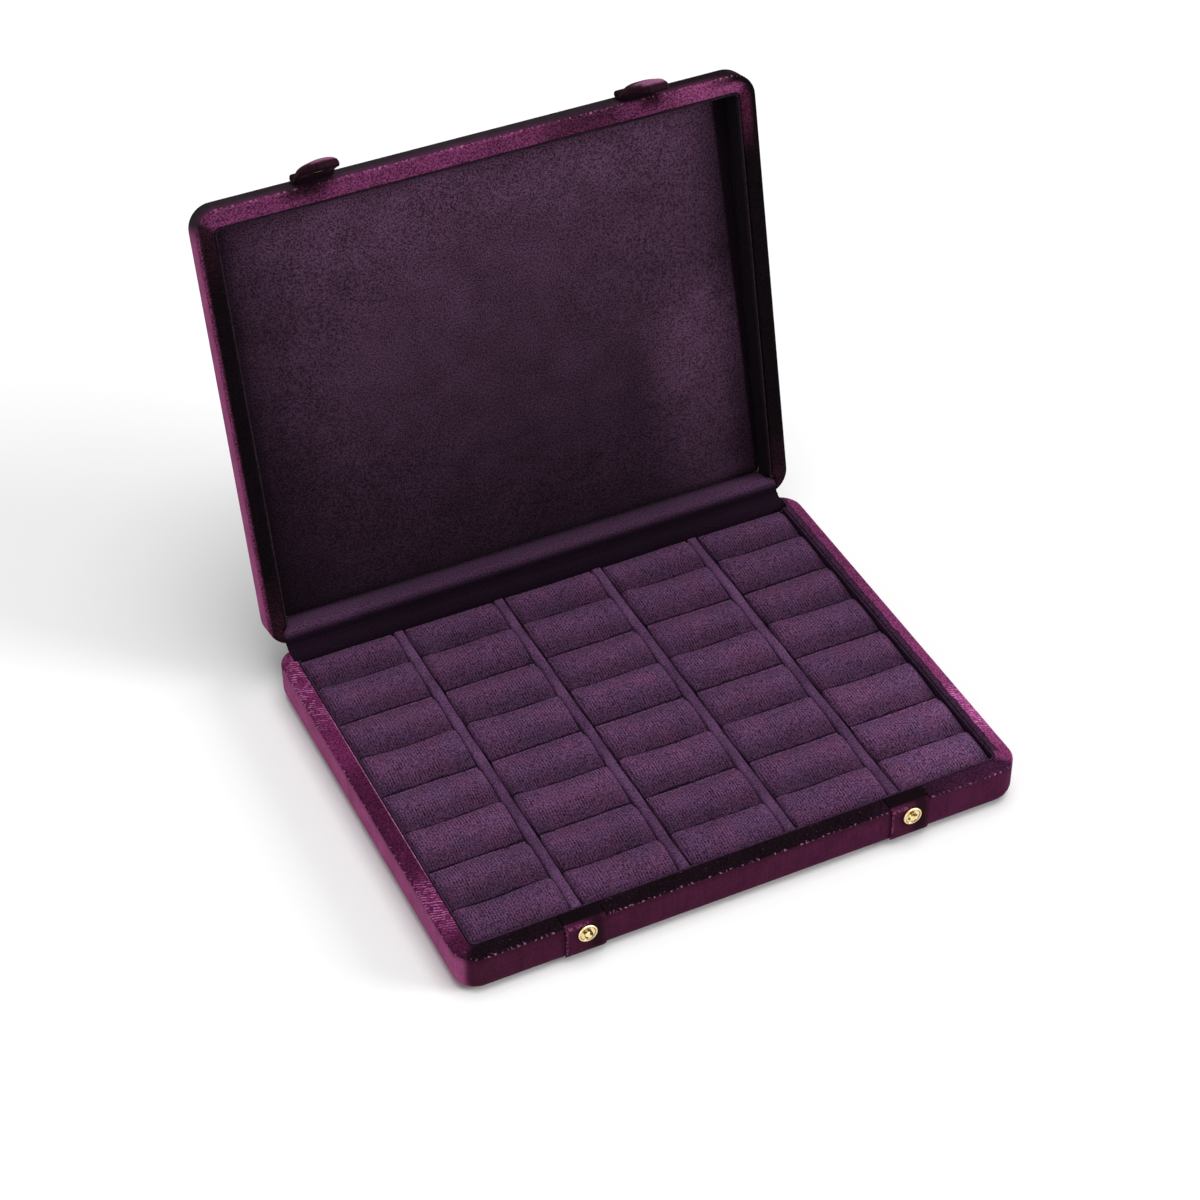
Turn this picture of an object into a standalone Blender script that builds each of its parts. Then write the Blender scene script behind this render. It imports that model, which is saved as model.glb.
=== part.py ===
# A flat velvet jewelry case for rings, open about 103 degrees: two shallow rounded trays joined by a
# cloth hinge, a ring insert of five columns of slit pads, and two strap tabs with press studs.
# Metres, +Z up. The origin is the middle of the base's underside, and the front faces -Y.

import math

import bmesh
import bpy
from mathutils import Matrix, Vector

# Driving sizes of the case
CASE_WIDTH = 0.250
CASE_DEPTH = 0.199
BASE_HEIGHT = 0.020
LID_HEIGHT = 0.015
CORNER_RADIUS = 0.0105
RIM_WIDTH = 0.0075
BACK_RIM_WIDTH = 0.0048
OPEN_ANGLE = math.radians(102.9)

# Cloth, board and clearances. CUT is how far a cutter runs past what it cuts.
VELVET = 0.001
SUEDE = 0.0008
SPINE_CLOTH = 0.0006
TRAY_FLOOR = 0.0024
LID_ROOF = 0.0015
INSERT_BOARD = 0.002
FIT = 0.0003
CUT = 0.004

# Velvet covers
LIP_DEPTH = 0.0034
TURN_IN = 0.012
FOOT_RADIUS = 0.0025
LID_EDGE_RADIUS = 0.003
WELT_CHAMFER = 0.0009

# Cloth hinge
SPINE_SIDE_INSET = 0.016
SPINE_LAP = 0.011
GUSSET_SIDE_INSET = 0.0115
GUSSET_BEND = 0.0016
BASE_GUSSET_FLAP = 0.009
LID_GUSSET_FLAP = 0.0088

# Ring insert
COLUMNS = 5
ROWS = 4
INSERT_SIDE_GAP = 0.00085
OUTER_ROLL_TRIM = 0.00345
PAD_TOP_BELOW_RIM = 0.0008
ROLL_DROP = 0.0024
PAD_END_DROP = 0.0019
SLIT_DEPTH = 0.005
PAD_TUCK = 0.0007
DIVIDER_WIDTH = 0.0048
DIVIDER_BELOW_RIM = 0.0028
DIVIDER_ROUND = 0.0011

# Lid panel
PANEL_THICKNESS = 0.0017
PANEL_CROWN = 0.0005
PANEL_EDGE_DROP = 0.0011

# Snaps
SNAP_SPACING = 0.1446
SNAP_BELOW_RIM = 0.0052
PATCH_WIDTH = 0.0176
PATCH_THICKNESS = 0.0009
PATCH_FOLD_RADIUS = 0.0018
PATCH_FOOT = 0.002
STUD_RADIUS = 0.0047
STUD_FLANGE = 0.0008
BEAD = 0.0003
KNOB_RADIUS = 0.0018
KNOB_NECK_RADIUS = 0.0014
KNOB_HEIGHT = 0.0017
POST_RADIUS = 0.0034
POST_FLANGE = 0.0006
POST_SHANK_RADIUS = 0.0009
SOCKET_RADIUS = 0.0043
SOCKET_THICKNESS = 0.0022
SOCKET_BORE_RADIUS = 0.0022
SOCKET_PROUD = 0.0006
SOCKET_FLOOR = 0.0004

# Straps
STRAP_WIDTH = 0.0172
STRAP_ROOT_THICKNESS = 0.0024
STRAP_TAB_THICKNESS = 0.0028
STRAP_BEND_ABOVE_RIM = 0.004
STRAP_TIP_BELOW_RIM = 0.0178
STRAP_SWELL = 0.0045
STRAP_TIP_ROUND = 0.0062
STRAP_EDGE_ROUND = 0.0006
ANCHOR_HEIGHT = 0.0072
ANCHOR_ROUND = 0.0008
STRAP_LIFTS = {"left": math.radians(26.5), "right": math.radians(16.7)}

# Facets of the round stretches
CORNER_STEPS = 6
EDGE_STEPS = 3
BEND_STEPS = 5
TURNED_STEPS = 20

# Grid lines, as shares of a roll's width, a pad's half width, the panel's half sides and a tab's length
ROLL_LINE_SHARES = (0, 0.015, 0.06, 0.18, 0.5, 0.82, 0.94, 0.985, 1)
PAD_LINE_SHARES = (-1, -0.96, -0.82, 0, 0.82, 0.96, 1)
PANEL_LINE_SHARES = (-1, -0.99, -0.97, -0.8, -0.4, 0, 0.4, 0.8, 0.97, 0.99, 1)
TAB_LINE_SHARES = (0, 0.05, 0.1, 0.15, 0.21, 0.45, 0.72, 0.81, 0.88, 0.94, 0.98, 1)
TAB_TIP_WIDTH_SHARE = 0.4

# How sharply the soft forms turn down at their edges
ROLL_POWER = 3.2
PAD_END_POWER = 9
PANEL_EDGE_POWER = 60
TAB_TIP_POWER = 2.4

# Places worked out from the sizes above. Behind BACK_Y lies only the spine cloth of the hinge.
RIM_Z = BASE_HEIGHT
HINGE_Y = CASE_DEPTH / 2
FRONT_Y = -CASE_DEPTH / 2
BACK_Y = HINGE_Y - SPINE_CLOTH - FIT
MIDDLE_Y = (BACK_Y + FRONT_Y) / 2
SKIN = VELVET + FIT
BASE_TOP_Z = RIM_Z - FIT / 2
LID_BOTTOM_Z = RIM_Z + FIT / 2
LID_TOP_Z = RIM_Z + LID_HEIGHT
INNER_HALF_WIDTH = CASE_WIDTH / 2 - RIM_WIDTH
INNER_FRONT_Y = FRONT_Y + RIM_WIDTH
INNER_BACK_Y = BACK_Y - BACK_RIM_WIDTH
LINED_HALF_WIDTH = INNER_HALF_WIDTH - FIT - SUEDE
LINED_FRONT_Y = INNER_FRONT_Y + FIT + SUEDE
LINED_BACK_Y = INNER_BACK_Y - FIT - SUEDE
LINED_CORNER_RADIUS = CORNER_RADIUS - RIM_WIDTH - FIT - SUEDE
GUSSET_WALL_Y = LINED_BACK_Y - FIT - SUEDE
TRAY_FLOOR_Z = SKIN + TRAY_FLOOR
BOARD_TOP_Z = TRAY_FLOOR_Z + FIT + INSERT_BOARD
LID_ROOF_Z = LID_TOP_Z - SKIN - LID_ROOF
PANEL_FACE_Z = LID_ROOF_Z - FIT - PANEL_THICKNESS
INSERT_BACK_Y = GUSSET_WALL_Y - FIT
INSERT_FRONT_Y = LINED_FRONT_Y + FIT
INSERT_MIDDLE_Y = (INSERT_BACK_Y + INSERT_FRONT_Y) / 2
INSERT_HALF_WIDTH = LINED_HALF_WIDTH - INSERT_SIDE_GAP
COLUMN_PITCH = (2 * INSERT_HALF_WIDTH + DIVIDER_WIDTH + 2 * FIT) / COLUMNS
ROW_PITCH = (INSERT_BACK_Y - INSERT_FRONT_Y + 2 * OUTER_ROLL_TRIM) / ROWS
PAD_WIDTH = COLUMN_PITCH - DIVIDER_WIDTH - 2 * FIT
SNAP_Z = RIM_Z - SNAP_BELOW_RIM

# Layers in front of the front wall, measured from it
PATCH_FACE = FIT + PATCH_THICKNESS
STUD_SEAT = PATCH_FACE + FIT
SOCKET_FACE = STUD_SEAT + STUD_FLANGE + FIT
TAB_ROOT_FACE = 2 * FIT
TAB_FACE = SOCKET_FACE + SOCKET_PROUD
STRAP_BEND_Y = FRONT_Y - TAB_ROOT_FACE - STRAP_ROOT_THICKNESS
STRAP_BEND_Z = RIM_Z + STRAP_BEND_ABOVE_RIM
TAB_LENGTH = STRAP_BEND_ABOVE_RIM + STRAP_TIP_BELOW_RIM - FIT

# Looks: colour, roughness and metallic value
VELVET_LOOK = ((0.150, 0.012, 0.068), 0.85, 0)
SUEDE_LOOK = ((0.045, 0.020, 0.060), 0.95, 0)
BOARD_LOOK = ((0.30, 0.25, 0.19), 0.9, 0)
GOLD_LOOK = ((0.83, 0.62, 0.28), 0.22, 1)


def clear_scene():
    for thing in list(bpy.data.objects):
        bpy.data.objects.remove(thing, do_unlink=True)


def new_collection(name):
    collection = bpy.data.collections.new(name)
    bpy.context.scene.collection.children.link(collection)
    return collection


def new_material(name, colour, roughness, metallic):
    material = bpy.data.materials.new(name)
    material.use_nodes = True
    shader = material.node_tree.nodes["Principled BSDF"]
    shader.inputs["Base Color"].default_value = (*colour, 1)
    shader.inputs["Roughness"].default_value = roughness
    shader.inputs["Metallic"].default_value = metallic
    material.diffuse_color = (*colour, 1)
    return material


def hang(thing, joint):
    """Parents a piece to the empty on its joint. The piece keeps its place on the closed case."""
    thing.parent = joint
    if joint:
        thing.matrix_parent_inverse = Matrix.Translation(joint.location).inverted()


def new_joint(name, place, turn_x, parent=None):
    """An empty on a joint's axis, turned from the closed and snapped case to the pose at rest."""
    joint = bpy.data.objects.new(name, None)
    joint.location = place
    joint.rotation_euler.x = turn_x
    CASE.objects.link(joint)
    hang(joint, parent)
    return joint


def new_object(name, bm, look=None, joint=None, place=(0, 0, 0), turn_x=0):
    """Makes an object of a bmesh. Without a look it is a cutter."""
    mesh = bpy.data.meshes.new(name)
    bm.to_mesh(mesh)
    bm.free()
    thing = bpy.data.objects.new(name, mesh)
    thing.location = place
    thing.rotation_euler.x = turn_x
    hang(thing, joint)
    if look:
        CASE.objects.link(thing)
        mesh.materials.append(new_material(name, *look))
        mesh.shade_smooth()
        mesh.set_sharp_from_angle(angle=math.radians(35))
    else:
        CUTTERS.objects.link(thing)
        thing.hide_render = True
        thing.display_type = "WIRE"
    return thing


def solidify(thing, thickness):
    """Thickens an open surface away from the side that its faces look to."""
    modifier = thing.modifiers.new("thickness", "SOLIDIFY")
    modifier.thickness = thickness
    modifier.offset = -1
    modifier.use_even_offset = True


def round_edges(thing, width):
    modifier = thing.modifiers.new("rounded", "BEVEL")
    modifier.width = width
    modifier.segments = 2
    modifier.limit_method = "ANGLE"
    modifier.angle_limit = math.radians(50)


def cut(thing, bm):
    cutter = new_object(thing.name + "_cutter", bm, joint=thing.parent)
    modifier = thing.modifiers.new("cut", "BOOLEAN")
    modifier.operation = "DIFFERENCE"
    modifier.object = cutter


def cut_box(thing, low, high):
    low = Vector(low)
    high = Vector(high)
    bm = bmesh.new()
    size = Matrix.Diagonal((*(high - low), 1))
    bmesh.ops.create_cube(bm, size=1, matrix=Matrix.Translation((low + high) / 2) @ size)
    cut(thing, bm)


def cut_bore(thing, radius, middle_x, low_y, high_y):
    """Cuts a round hole along Y at the height of the snaps."""
    bm = bmesh.new()
    place = Matrix.Translation((middle_x, (low_y + high_y) / 2, SNAP_Z))
    bmesh.ops.create_cone(
        bm,
        cap_ends=True,
        segments=TURNED_STEPS,
        radius1=radius,
        radius2=radius,
        depth=high_y - low_y,
        matrix=place @ Matrix.Rotation(math.pi / 2, 4, "X"),
    )
    cut(thing, bm)


def block(half_width, front, back, low, high, corner, middle_x=0):
    """A box, with its four upright edges rounded where a corner radius is given."""
    bm = bmesh.new()
    size = Matrix.Diagonal((2 * half_width, back - front, high - low, 1))
    middle = Matrix.Translation((middle_x, (front + back) / 2, (low + high) / 2))
    bmesh.ops.create_cube(bm, size=1, matrix=middle @ size)
    if corner:
        upright = [edge for edge in bm.edges if edge.verts[0].co.xy == edge.verts[1].co.xy]
        bmesh.ops.bevel(bm, geom=upright, offset=corner, segments=CORNER_STEPS, profile=0.5, affect="EDGES")
    return bm


def hollow(bm, upward, wall, back_wall, depth):
    """Sinks the top or the bottom face inside its walls, and gives the face at the end of the hollow."""
    bm.normal_update()
    level = [face for face in bm.faces if (face.normal.z > 0.9 if upward else face.normal.z < -0.9)]
    face = level[0]
    bmesh.ops.inset_region(bm, faces=[face], thickness=wall, use_even_offset=True)
    for vert in face.verts:
        if vert.co.y > MIDDLE_Y:
            vert.co.y += wall - back_wall
    face = bmesh.ops.extrude_discrete_faces(bm, faces=[face])["faces"][0]
    bmesh.ops.translate(bm, verts=face.verts, vec=(0, 0, -depth if upward else depth))
    bm.normal_update()
    return face


def round_level(bm, level, radius, steps):
    """Rounds the edges between the walls and the face at one level."""
    edges = [
        edge
        for edge in bm.edges
        if all(abs(vert.co.z - level) < FIT / 2 for vert in edge.verts)
        and any(abs(face.normal.z) < 0.5 for face in edge.link_faces)
    ]
    bmesh.ops.bevel(bm, geom=edges, offset=radius, segments=steps, profile=0.5, affect="EDGES")
    bm.normal_update()


def grid_of(columns, rows, shape):
    """A grid surface whose points are shape(column, row). It looks to column direction x row direction."""
    bm = bmesh.new()
    bmesh.ops.create_grid(bm, x_segments=len(columns) - 1, y_segments=len(rows) - 1, size=1)
    for vert in bm.verts:
        column = columns[round((vert.co.x + 1) / 2 * (len(columns) - 1))]
        row = rows[round((vert.co.y + 1) / 2 * (len(rows) - 1))]
        vert.co = shape(column, row)
    return bm


def boundary(bm):
    return [edge for edge in bm.edges if edge.is_boundary]


def close_down(bm, level, tuck):
    """Closes a domed grid with a skirt down to one level, drawn in by a tuck, and a flat face there."""
    skirt = bmesh.ops.extrude_edge_only(bm, edges=boundary(bm))["geom"]
    foot = [item for item in skirt if isinstance(item, bmesh.types.BMVert)]
    sides = {}
    for axis in (0, 1):
        places = [vert.co[axis] for vert in foot]
        sides[axis] = (min(places), max(places))
    for vert in foot:
        for axis, (least, most) in sides.items():
            vert.co[axis] = min(max(vert.co[axis], least + tuck), most - tuck)
        vert.co.z = level
    bmesh.ops.holes_fill(bm, edges=boundary(bm))
    bm.normal_update()
    bmesh.ops.recalc_face_normals(bm, faces=bm.faces)


def strip(name, look, line, width, thickness, joint=None, middle_x=0):
    """A strip of cloth along X whose section follows (y, z) points. It looks to X x the line's direction."""

    def point(column, row):
        return middle_x + column * width / 2, *line[row]

    thing = new_object(name, grid_of((-1, 1), range(len(line)), point), look, joint)
    solidify(thing, thickness)
    return thing


def arc(middle, radius, start, end):
    """(y, z) points of a round bend, with its angles measured from +Y towards +Z."""
    turns = [start + (end - start) * step / BEND_STEPS for step in range(BEND_STEPS + 1)]
    return [(middle[0] + radius * math.cos(turn), middle[1] + radius * math.sin(turn)) for turn in turns]


def turned(name, look, profile, middle_x, seat, joint=None):
    """A turned metal piece of a snap. Its (radius, height) profile stands on seat and points forwards."""
    bm = bmesh.new()
    verts = [bm.verts.new((radius, 0, height)) for radius, height in profile]
    for pair in zip(verts, verts[1:]):
        bm.edges.new(pair)
    thing = new_object(name, bm, look, joint, (middle_x, seat, SNAP_Z), math.pi / 2)
    spin = thing.modifiers.new("turned", "SCREW")
    spin.steps = TURNED_STEPS
    spin.render_steps = TURNED_STEPS
    spin.use_merge_vertices = True
    spin.merge_threshold = FIT / 100
    spin.use_smooth_shade = True


def base_core():
    half_width = CASE_WIDTH / 2 - SKIN
    top = BASE_TOP_Z - SKIN
    bm = block(half_width, FRONT_Y + SKIN, BACK_Y - SKIN, SKIN, top, CORNER_RADIUS - SKIN)
    hollow(bm, True, RIM_WIDTH - 2 * SKIN, BACK_RIM_WIDTH - 2 * SKIN, top - TRAY_FLOOR_Z)
    round_level(bm, top, WELT_CHAMFER, 1)
    round_level(bm, SKIN, FOOT_RADIUS - VELVET, 1)
    new_object("base_core", bm, BOARD_LOOK)


def clear_gusset(thing, low, high):
    """Clears a cover or a lining along the back rim, where the inner hinge cloth lies."""
    reach = CASE_WIDTH / 2 - GUSSET_SIDE_INSET + FIT
    cut_box(thing, (-reach, LINED_BACK_Y - FIT, low), (reach, HINGE_Y + CUT, high))


def base_velvet_cover():
    bm = block(CASE_WIDTH / 2, FRONT_Y, BACK_Y, 0, BASE_TOP_Z, CORNER_RADIUS)
    lip_end = hollow(bm, True, RIM_WIDTH, BACK_RIM_WIDTH, LIP_DEPTH)
    bmesh.ops.delete(bm, geom=[lip_end], context="FACES_ONLY")
    round_level(bm, 0, FOOT_RADIUS, EDGE_STEPS)
    round_level(bm, BASE_TOP_Z, WELT_CHAMFER, 1)
    cover = new_object("base_velvet_cover", bm, VELVET_LOOK)
    solidify(cover, VELVET)
    half_width = CASE_WIDTH / 2 - TURN_IN
    cut(cover, block(half_width, FRONT_Y + TURN_IN, BACK_Y - TURN_IN, -CUT, SKIN, FOOT_RADIUS))
    clear_gusset(cover, BASE_TOP_Z - SKIN, BASE_TOP_Z + CUT)
    for side in (-1, 1):
        middle = side * SNAP_SPACING / 2
        reach = PATCH_WIDTH / 2 + FIT
        low = BASE_TOP_Z - LIP_DEPTH - FIT
        high = BASE_TOP_Z + CUT
        cut_box(cover, (middle - reach, FRONT_Y - CUT, low), (middle + reach, INNER_FRONT_Y + FIT, high))
        cut_bore(cover, POST_RADIUS + FIT, middle, FRONT_Y - CUT, FRONT_Y + SKIN)


def base_bottom_sheet():
    inset = TURN_IN + FIT
    bm = block(CASE_WIDTH / 2 - inset, FRONT_Y + inset, BACK_Y - inset, 0, VELVET, FOOT_RADIUS - FIT)
    new_object("base_bottom_sheet", bm, SUEDE_LOOK)


def side_lining(name, low, high, joint=None):
    """The suede strip glued round the inside of the walls."""
    half_width = INNER_HALF_WIDTH - FIT
    corner = CORNER_RADIUS - RIM_WIDTH - FIT
    bm = block(half_width, INNER_FRONT_Y + FIT, INNER_BACK_Y - FIT, low, high, corner)
    bm.normal_update()
    level = [face for face in bm.faces if abs(face.normal.z) > 0.5]
    bmesh.ops.delete(bm, geom=level, context="FACES")
    lining = new_object(name, bm, SUEDE_LOOK, joint)
    solidify(lining, SUEDE)
    return lining


def insert_board():
    low = TRAY_FLOOR_Z + FIT
    bm = block(INSERT_HALF_WIDTH, INSERT_FRONT_Y, INSERT_BACK_Y, low, BOARD_TOP_Z, PAD_TUCK)
    new_object("insert_board", bm, BOARD_LOOK)


def ring_pad(name, middle_x, back, slit, front):
    """A foam pad of two soft rolls, with the slit that holds the rings between them."""
    lines = ROLL_LINE_SHARES + tuple(1 + share for share in ROLL_LINE_SHARES[1:])

    def point(column, row):
        if row <= 1:
            y = back + row * (slit - back)
        else:
            y = slit + (row - 1) * (front - slit)
        across = 2 * (row - math.floor(row)) - 1
        drop = ROLL_DROP * abs(across) ** ROLL_POWER + PAD_END_DROP * abs(column) ** PAD_END_POWER
        if row == 1:
            drop += SLIT_DEPTH
        return middle_x + column * PAD_WIDTH / 2, y, RIM_Z - PAD_TOP_BELOW_RIM - drop

    bm = grid_of(PAD_LINE_SHARES, lines, point)
    close_down(bm, BOARD_TOP_Z + FIT, PAD_TUCK)
    new_object(name, bm, SUEDE_LOOK)


def ring_pads():
    """The pads, in rows from the back and columns from the left. The outer rows end at the lining."""
    for row in range(ROWS):
        back = INSERT_MIDDLE_Y + (ROWS / 2 - row) * ROW_PITCH - FIT / 2
        front = back - ROW_PITCH + FIT
        slit = (back + front) / 2
        if row == 0:
            back = INSERT_BACK_Y
        if row == ROWS - 1:
            front = INSERT_FRONT_Y
        for column in range(COLUMNS):
            middle_x = (column - (COLUMNS - 1) / 2) * COLUMN_PITCH
            ring_pad(f"ring_pad_row{row + 1}_column{column + 1}", middle_x, back, slit, front)


def column_dividers():
    low = BOARD_TOP_Z + FIT
    high = RIM_Z - DIVIDER_BELOW_RIM
    for index in range(COLUMNS - 1):
        middle_x = (index - (COLUMNS - 2) / 2) * COLUMN_PITCH
        bm = block(DIVIDER_WIDTH / 2, INSERT_FRONT_Y, INSERT_BACK_Y, low, high, 0, middle_x)
        round_edges(new_object(f"column_divider_{index + 1}", bm, SUEDE_LOOK), DIVIDER_ROUND)


def base_hinge_cloth():
    line = [(HINGE_Y, RIM_Z - FIT / 2), (HINGE_Y, RIM_Z - SPINE_LAP)]
    strip("base_spine_cloth", VELVET_LOOK, line, CASE_WIDTH - 2 * SPINE_SIDE_INSET, SPINE_CLOTH)
    line = [(GUSSET_WALL_Y, BASE_TOP_Z - BASE_GUSSET_FLAP)]
    line += arc((GUSSET_WALL_Y + GUSSET_BEND, BASE_TOP_Z - GUSSET_BEND), GUSSET_BEND, math.pi, math.pi / 2)
    line += [(BACK_Y, BASE_TOP_Z)]
    strip("base_hinge_gusset", SUEDE_LOOK, line, CASE_WIDTH - 2 * GUSSET_SIDE_INSET, SUEDE)


def snap_patch(side, middle):
    """The velvet tab under a snap: it lies on the rim and folds over the edge, down the front wall."""
    face = FRONT_Y - PATCH_FACE
    fold = (face + PATCH_FOLD_RADIUS, BASE_TOP_Z - PATCH_FOLD_RADIUS)
    line = [(face, PATCH_FOOT)]
    line += arc(fold, PATCH_FOLD_RADIUS, math.pi, math.pi / 2)
    line += [(INNER_FRONT_Y, BASE_TOP_Z)]
    patch = strip(f"{side}_snap_patch", VELVET_LOOK, line, PATCH_WIDTH, PATCH_THICKNESS, middle_x=middle)
    cut_bore(patch, POST_SHANK_RADIUS + FIT, middle, FRONT_Y - CUT, FRONT_Y + CUT)


def snap_stud(side, middle):
    """The press stud: a dished flange with a beaded rim, a knob that the socket grips, and a blind bore."""
    knob_top = STUD_FLANGE + KNOB_HEIGHT
    waist = STUD_FLANGE + KNOB_HEIGHT / 2
    bore_radius = POST_SHANK_RADIUS + FIT
    profile = [
        (0, knob_top),
        (KNOB_NECK_RADIUS, knob_top),
        (KNOB_RADIUS, knob_top - BEAD),
        (KNOB_RADIUS, waist),
        (KNOB_NECK_RADIUS, waist - BEAD),
        (KNOB_NECK_RADIUS, STUD_FLANGE - BEAD),
        (STUD_RADIUS - 3 * BEAD, STUD_FLANGE - BEAD),
        (STUD_RADIUS - 2 * BEAD, STUD_FLANGE),
        (STUD_RADIUS - BEAD, STUD_FLANGE),
        (STUD_RADIUS, STUD_FLANGE - BEAD),
        (STUD_RADIUS, BEAD),
        (STUD_RADIUS - BEAD, 0),
        (bore_radius, 0),
        (bore_radius, waist),
        (0, waist),
    ]
    turned(f"{side}_snap_stud", GOLD_LOOK, profile, middle, FRONT_Y - STUD_SEAT)


def snap_post(side, middle):
    """The rivet that holds the stud. Its flange lies in a hole of the velvet, behind the patch."""
    shank_top = POST_FLANGE + STUD_SEAT + STUD_FLANGE + KNOB_HEIGHT / 2 - FIT
    profile = [
        (0, shank_top),
        (POST_SHANK_RADIUS, shank_top),
        (POST_SHANK_RADIUS, POST_FLANGE),
        (POST_RADIUS, POST_FLANGE),
        (POST_RADIUS, 0),
        (0, 0),
    ]
    turned(f"{side}_snap_post", GOLD_LOOK, profile, middle, FRONT_Y + POST_FLANGE)


def lid_core(hinge):
    half_width = CASE_WIDTH / 2 - SKIN
    low = LID_BOTTOM_Z + SKIN
    high = LID_TOP_Z - SKIN
    bm = block(half_width, FRONT_Y + SKIN, BACK_Y - SKIN, low, high, CORNER_RADIUS - SKIN)
    hollow(bm, False, RIM_WIDTH - 2 * SKIN, BACK_RIM_WIDTH - 2 * SKIN, LID_ROOF_Z - low)
    round_level(bm, high, LID_EDGE_RADIUS - VELVET, 1)
    round_level(bm, low, WELT_CHAMFER, 1)
    new_object("lid_core", bm, BOARD_LOOK, hinge)


def lid_velvet_cover(hinge):
    bm = block(CASE_WIDTH / 2, FRONT_Y, BACK_Y, LID_BOTTOM_Z, LID_TOP_Z, CORNER_RADIUS)
    lip_end = hollow(bm, False, RIM_WIDTH, BACK_RIM_WIDTH, LIP_DEPTH)
    bmesh.ops.delete(bm, geom=[lip_end], context="FACES_ONLY")
    round_level(bm, LID_TOP_Z, LID_EDGE_RADIUS, EDGE_STEPS)
    round_level(bm, LID_BOTTOM_Z, WELT_CHAMFER, 1)
    cover = new_object("lid_velvet_cover", bm, VELVET_LOOK, hinge)
    solidify(cover, VELVET)
    clear_gusset(cover, LID_BOTTOM_Z - CUT, LID_BOTTOM_Z + SKIN)


def lid_padded_panel(hinge):
    """The padded suede panel against the lid's board: a low crown with soft edges and eased corners."""
    half_width = LINED_HALF_WIDTH - FIT
    half_depth = (GUSSET_WALL_Y - LINED_FRONT_Y) / 2 - FIT
    middle_y = (GUSSET_WALL_Y + LINED_FRONT_Y) / 2

    def point(column, row):
        soft = (1 - abs(column) ** PANEL_EDGE_POWER) * (1 - abs(row) ** PANEL_EDGE_POWER)
        crown = (1 - column**2) * (1 - row**2)
        z = PANEL_FACE_Z + PANEL_EDGE_DROP * (1 - soft) - PANEL_CROWN * crown
        ease = LINED_CORNER_RADIUS * (1 - math.sqrt(0.5)) * abs(column * row) ** PANEL_EDGE_POWER
        x = column * half_width - math.copysign(ease, column)
        y = middle_y + row * half_depth - math.copysign(ease, row)
        return x, y, z

    bm = grid_of(PANEL_LINE_SHARES, PANEL_LINE_SHARES, point)
    close_down(bm, PANEL_FACE_Z + PANEL_THICKNESS, 0)
    new_object("lid_padded_panel", bm, SUEDE_LOOK, hinge)


def lid_hinge_cloth(hinge):
    line = [(HINGE_Y, RIM_Z + SPINE_LAP), (HINGE_Y, RIM_Z + FIT / 2)]
    strip("lid_spine_cloth", VELVET_LOOK, line, CASE_WIDTH - 2 * SPINE_SIDE_INSET, SPINE_CLOTH, hinge)
    bend = (GUSSET_WALL_Y + GUSSET_BEND, LID_BOTTOM_Z + GUSSET_BEND)
    line = [(BACK_Y, LID_BOTTOM_Z)]
    line += arc(bend, GUSSET_BEND, -math.pi / 2, -math.pi)
    line += [(GUSSET_WALL_Y, LID_BOTTOM_Z + LID_GUSSET_FLAP)]
    strip("lid_hinge_gusset", SUEDE_LOOK, line, CASE_WIDTH - 2 * GUSSET_SIDE_INSET, SUEDE, hinge)


def strap_anchor(side, middle, hinge):
    """The strap's fixed end, glued to the lid's front wall above its fold."""
    low = STRAP_BEND_Z + FIT
    high = STRAP_BEND_Z + ANCHOR_HEIGHT
    bm = block(STRAP_WIDTH / 2, STRAP_BEND_Y, FRONT_Y - FIT, low, high, 0, middle)
    round_edges(new_object(f"{side}_strap_anchor", bm, VELVET_LOOK, hinge), ANCHOR_ROUND)


def strap_tab(side, middle, fold):
    """The strap's swinging end. It stands off the wall to clear the stud, and its tip is round."""

    def point(column, row):
        swell = min(1, row * TAB_LENGTH / STRAP_SWELL)
        swell = swell * swell * (3 - 2 * swell)
        face = TAB_ROOT_FACE + (TAB_FACE - TAB_ROOT_FACE) * swell
        into_tip = max(0, 1 - (1 - row) * TAB_LENGTH / STRAP_TIP_ROUND)
        width = math.sqrt(1 - (1 - TAB_TIP_WIDTH_SHARE**2) * into_tip**TAB_TIP_POWER)
        z = STRAP_BEND_Z - FIT - row * TAB_LENGTH
        return middle + column * width * STRAP_WIDTH / 2, FRONT_Y - face, z

    bm = grid_of((-1, 1), TAB_LINE_SHARES, point)
    outer = bmesh.ops.extrude_face_region(bm, geom=bm.faces[:])["geom"]
    for vert in outer:
        if isinstance(vert, bmesh.types.BMVert):
            swell = min(1, (STRAP_BEND_Z - FIT - vert.co.z) / STRAP_SWELL)
            vert.co.y -= STRAP_ROOT_THICKNESS + (STRAP_TAB_THICKNESS - STRAP_ROOT_THICKNESS) * swell
    bm.normal_update()
    bmesh.ops.recalc_face_normals(bm, faces=bm.faces)
    bmesh.ops.dissolve_limit(bm, angle_limit=math.radians(1), verts=bm.verts, edges=bm.edges)
    tab = new_object(f"{side}_strap_tab", bm, VELVET_LOOK, fold)
    round_edges(tab, STRAP_EDGE_ROUND)
    pocket = FRONT_Y - SOCKET_FACE - SOCKET_THICKNESS - FIT
    cut_bore(tab, SOCKET_RADIUS + FIT, middle, pocket, FRONT_Y)


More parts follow.
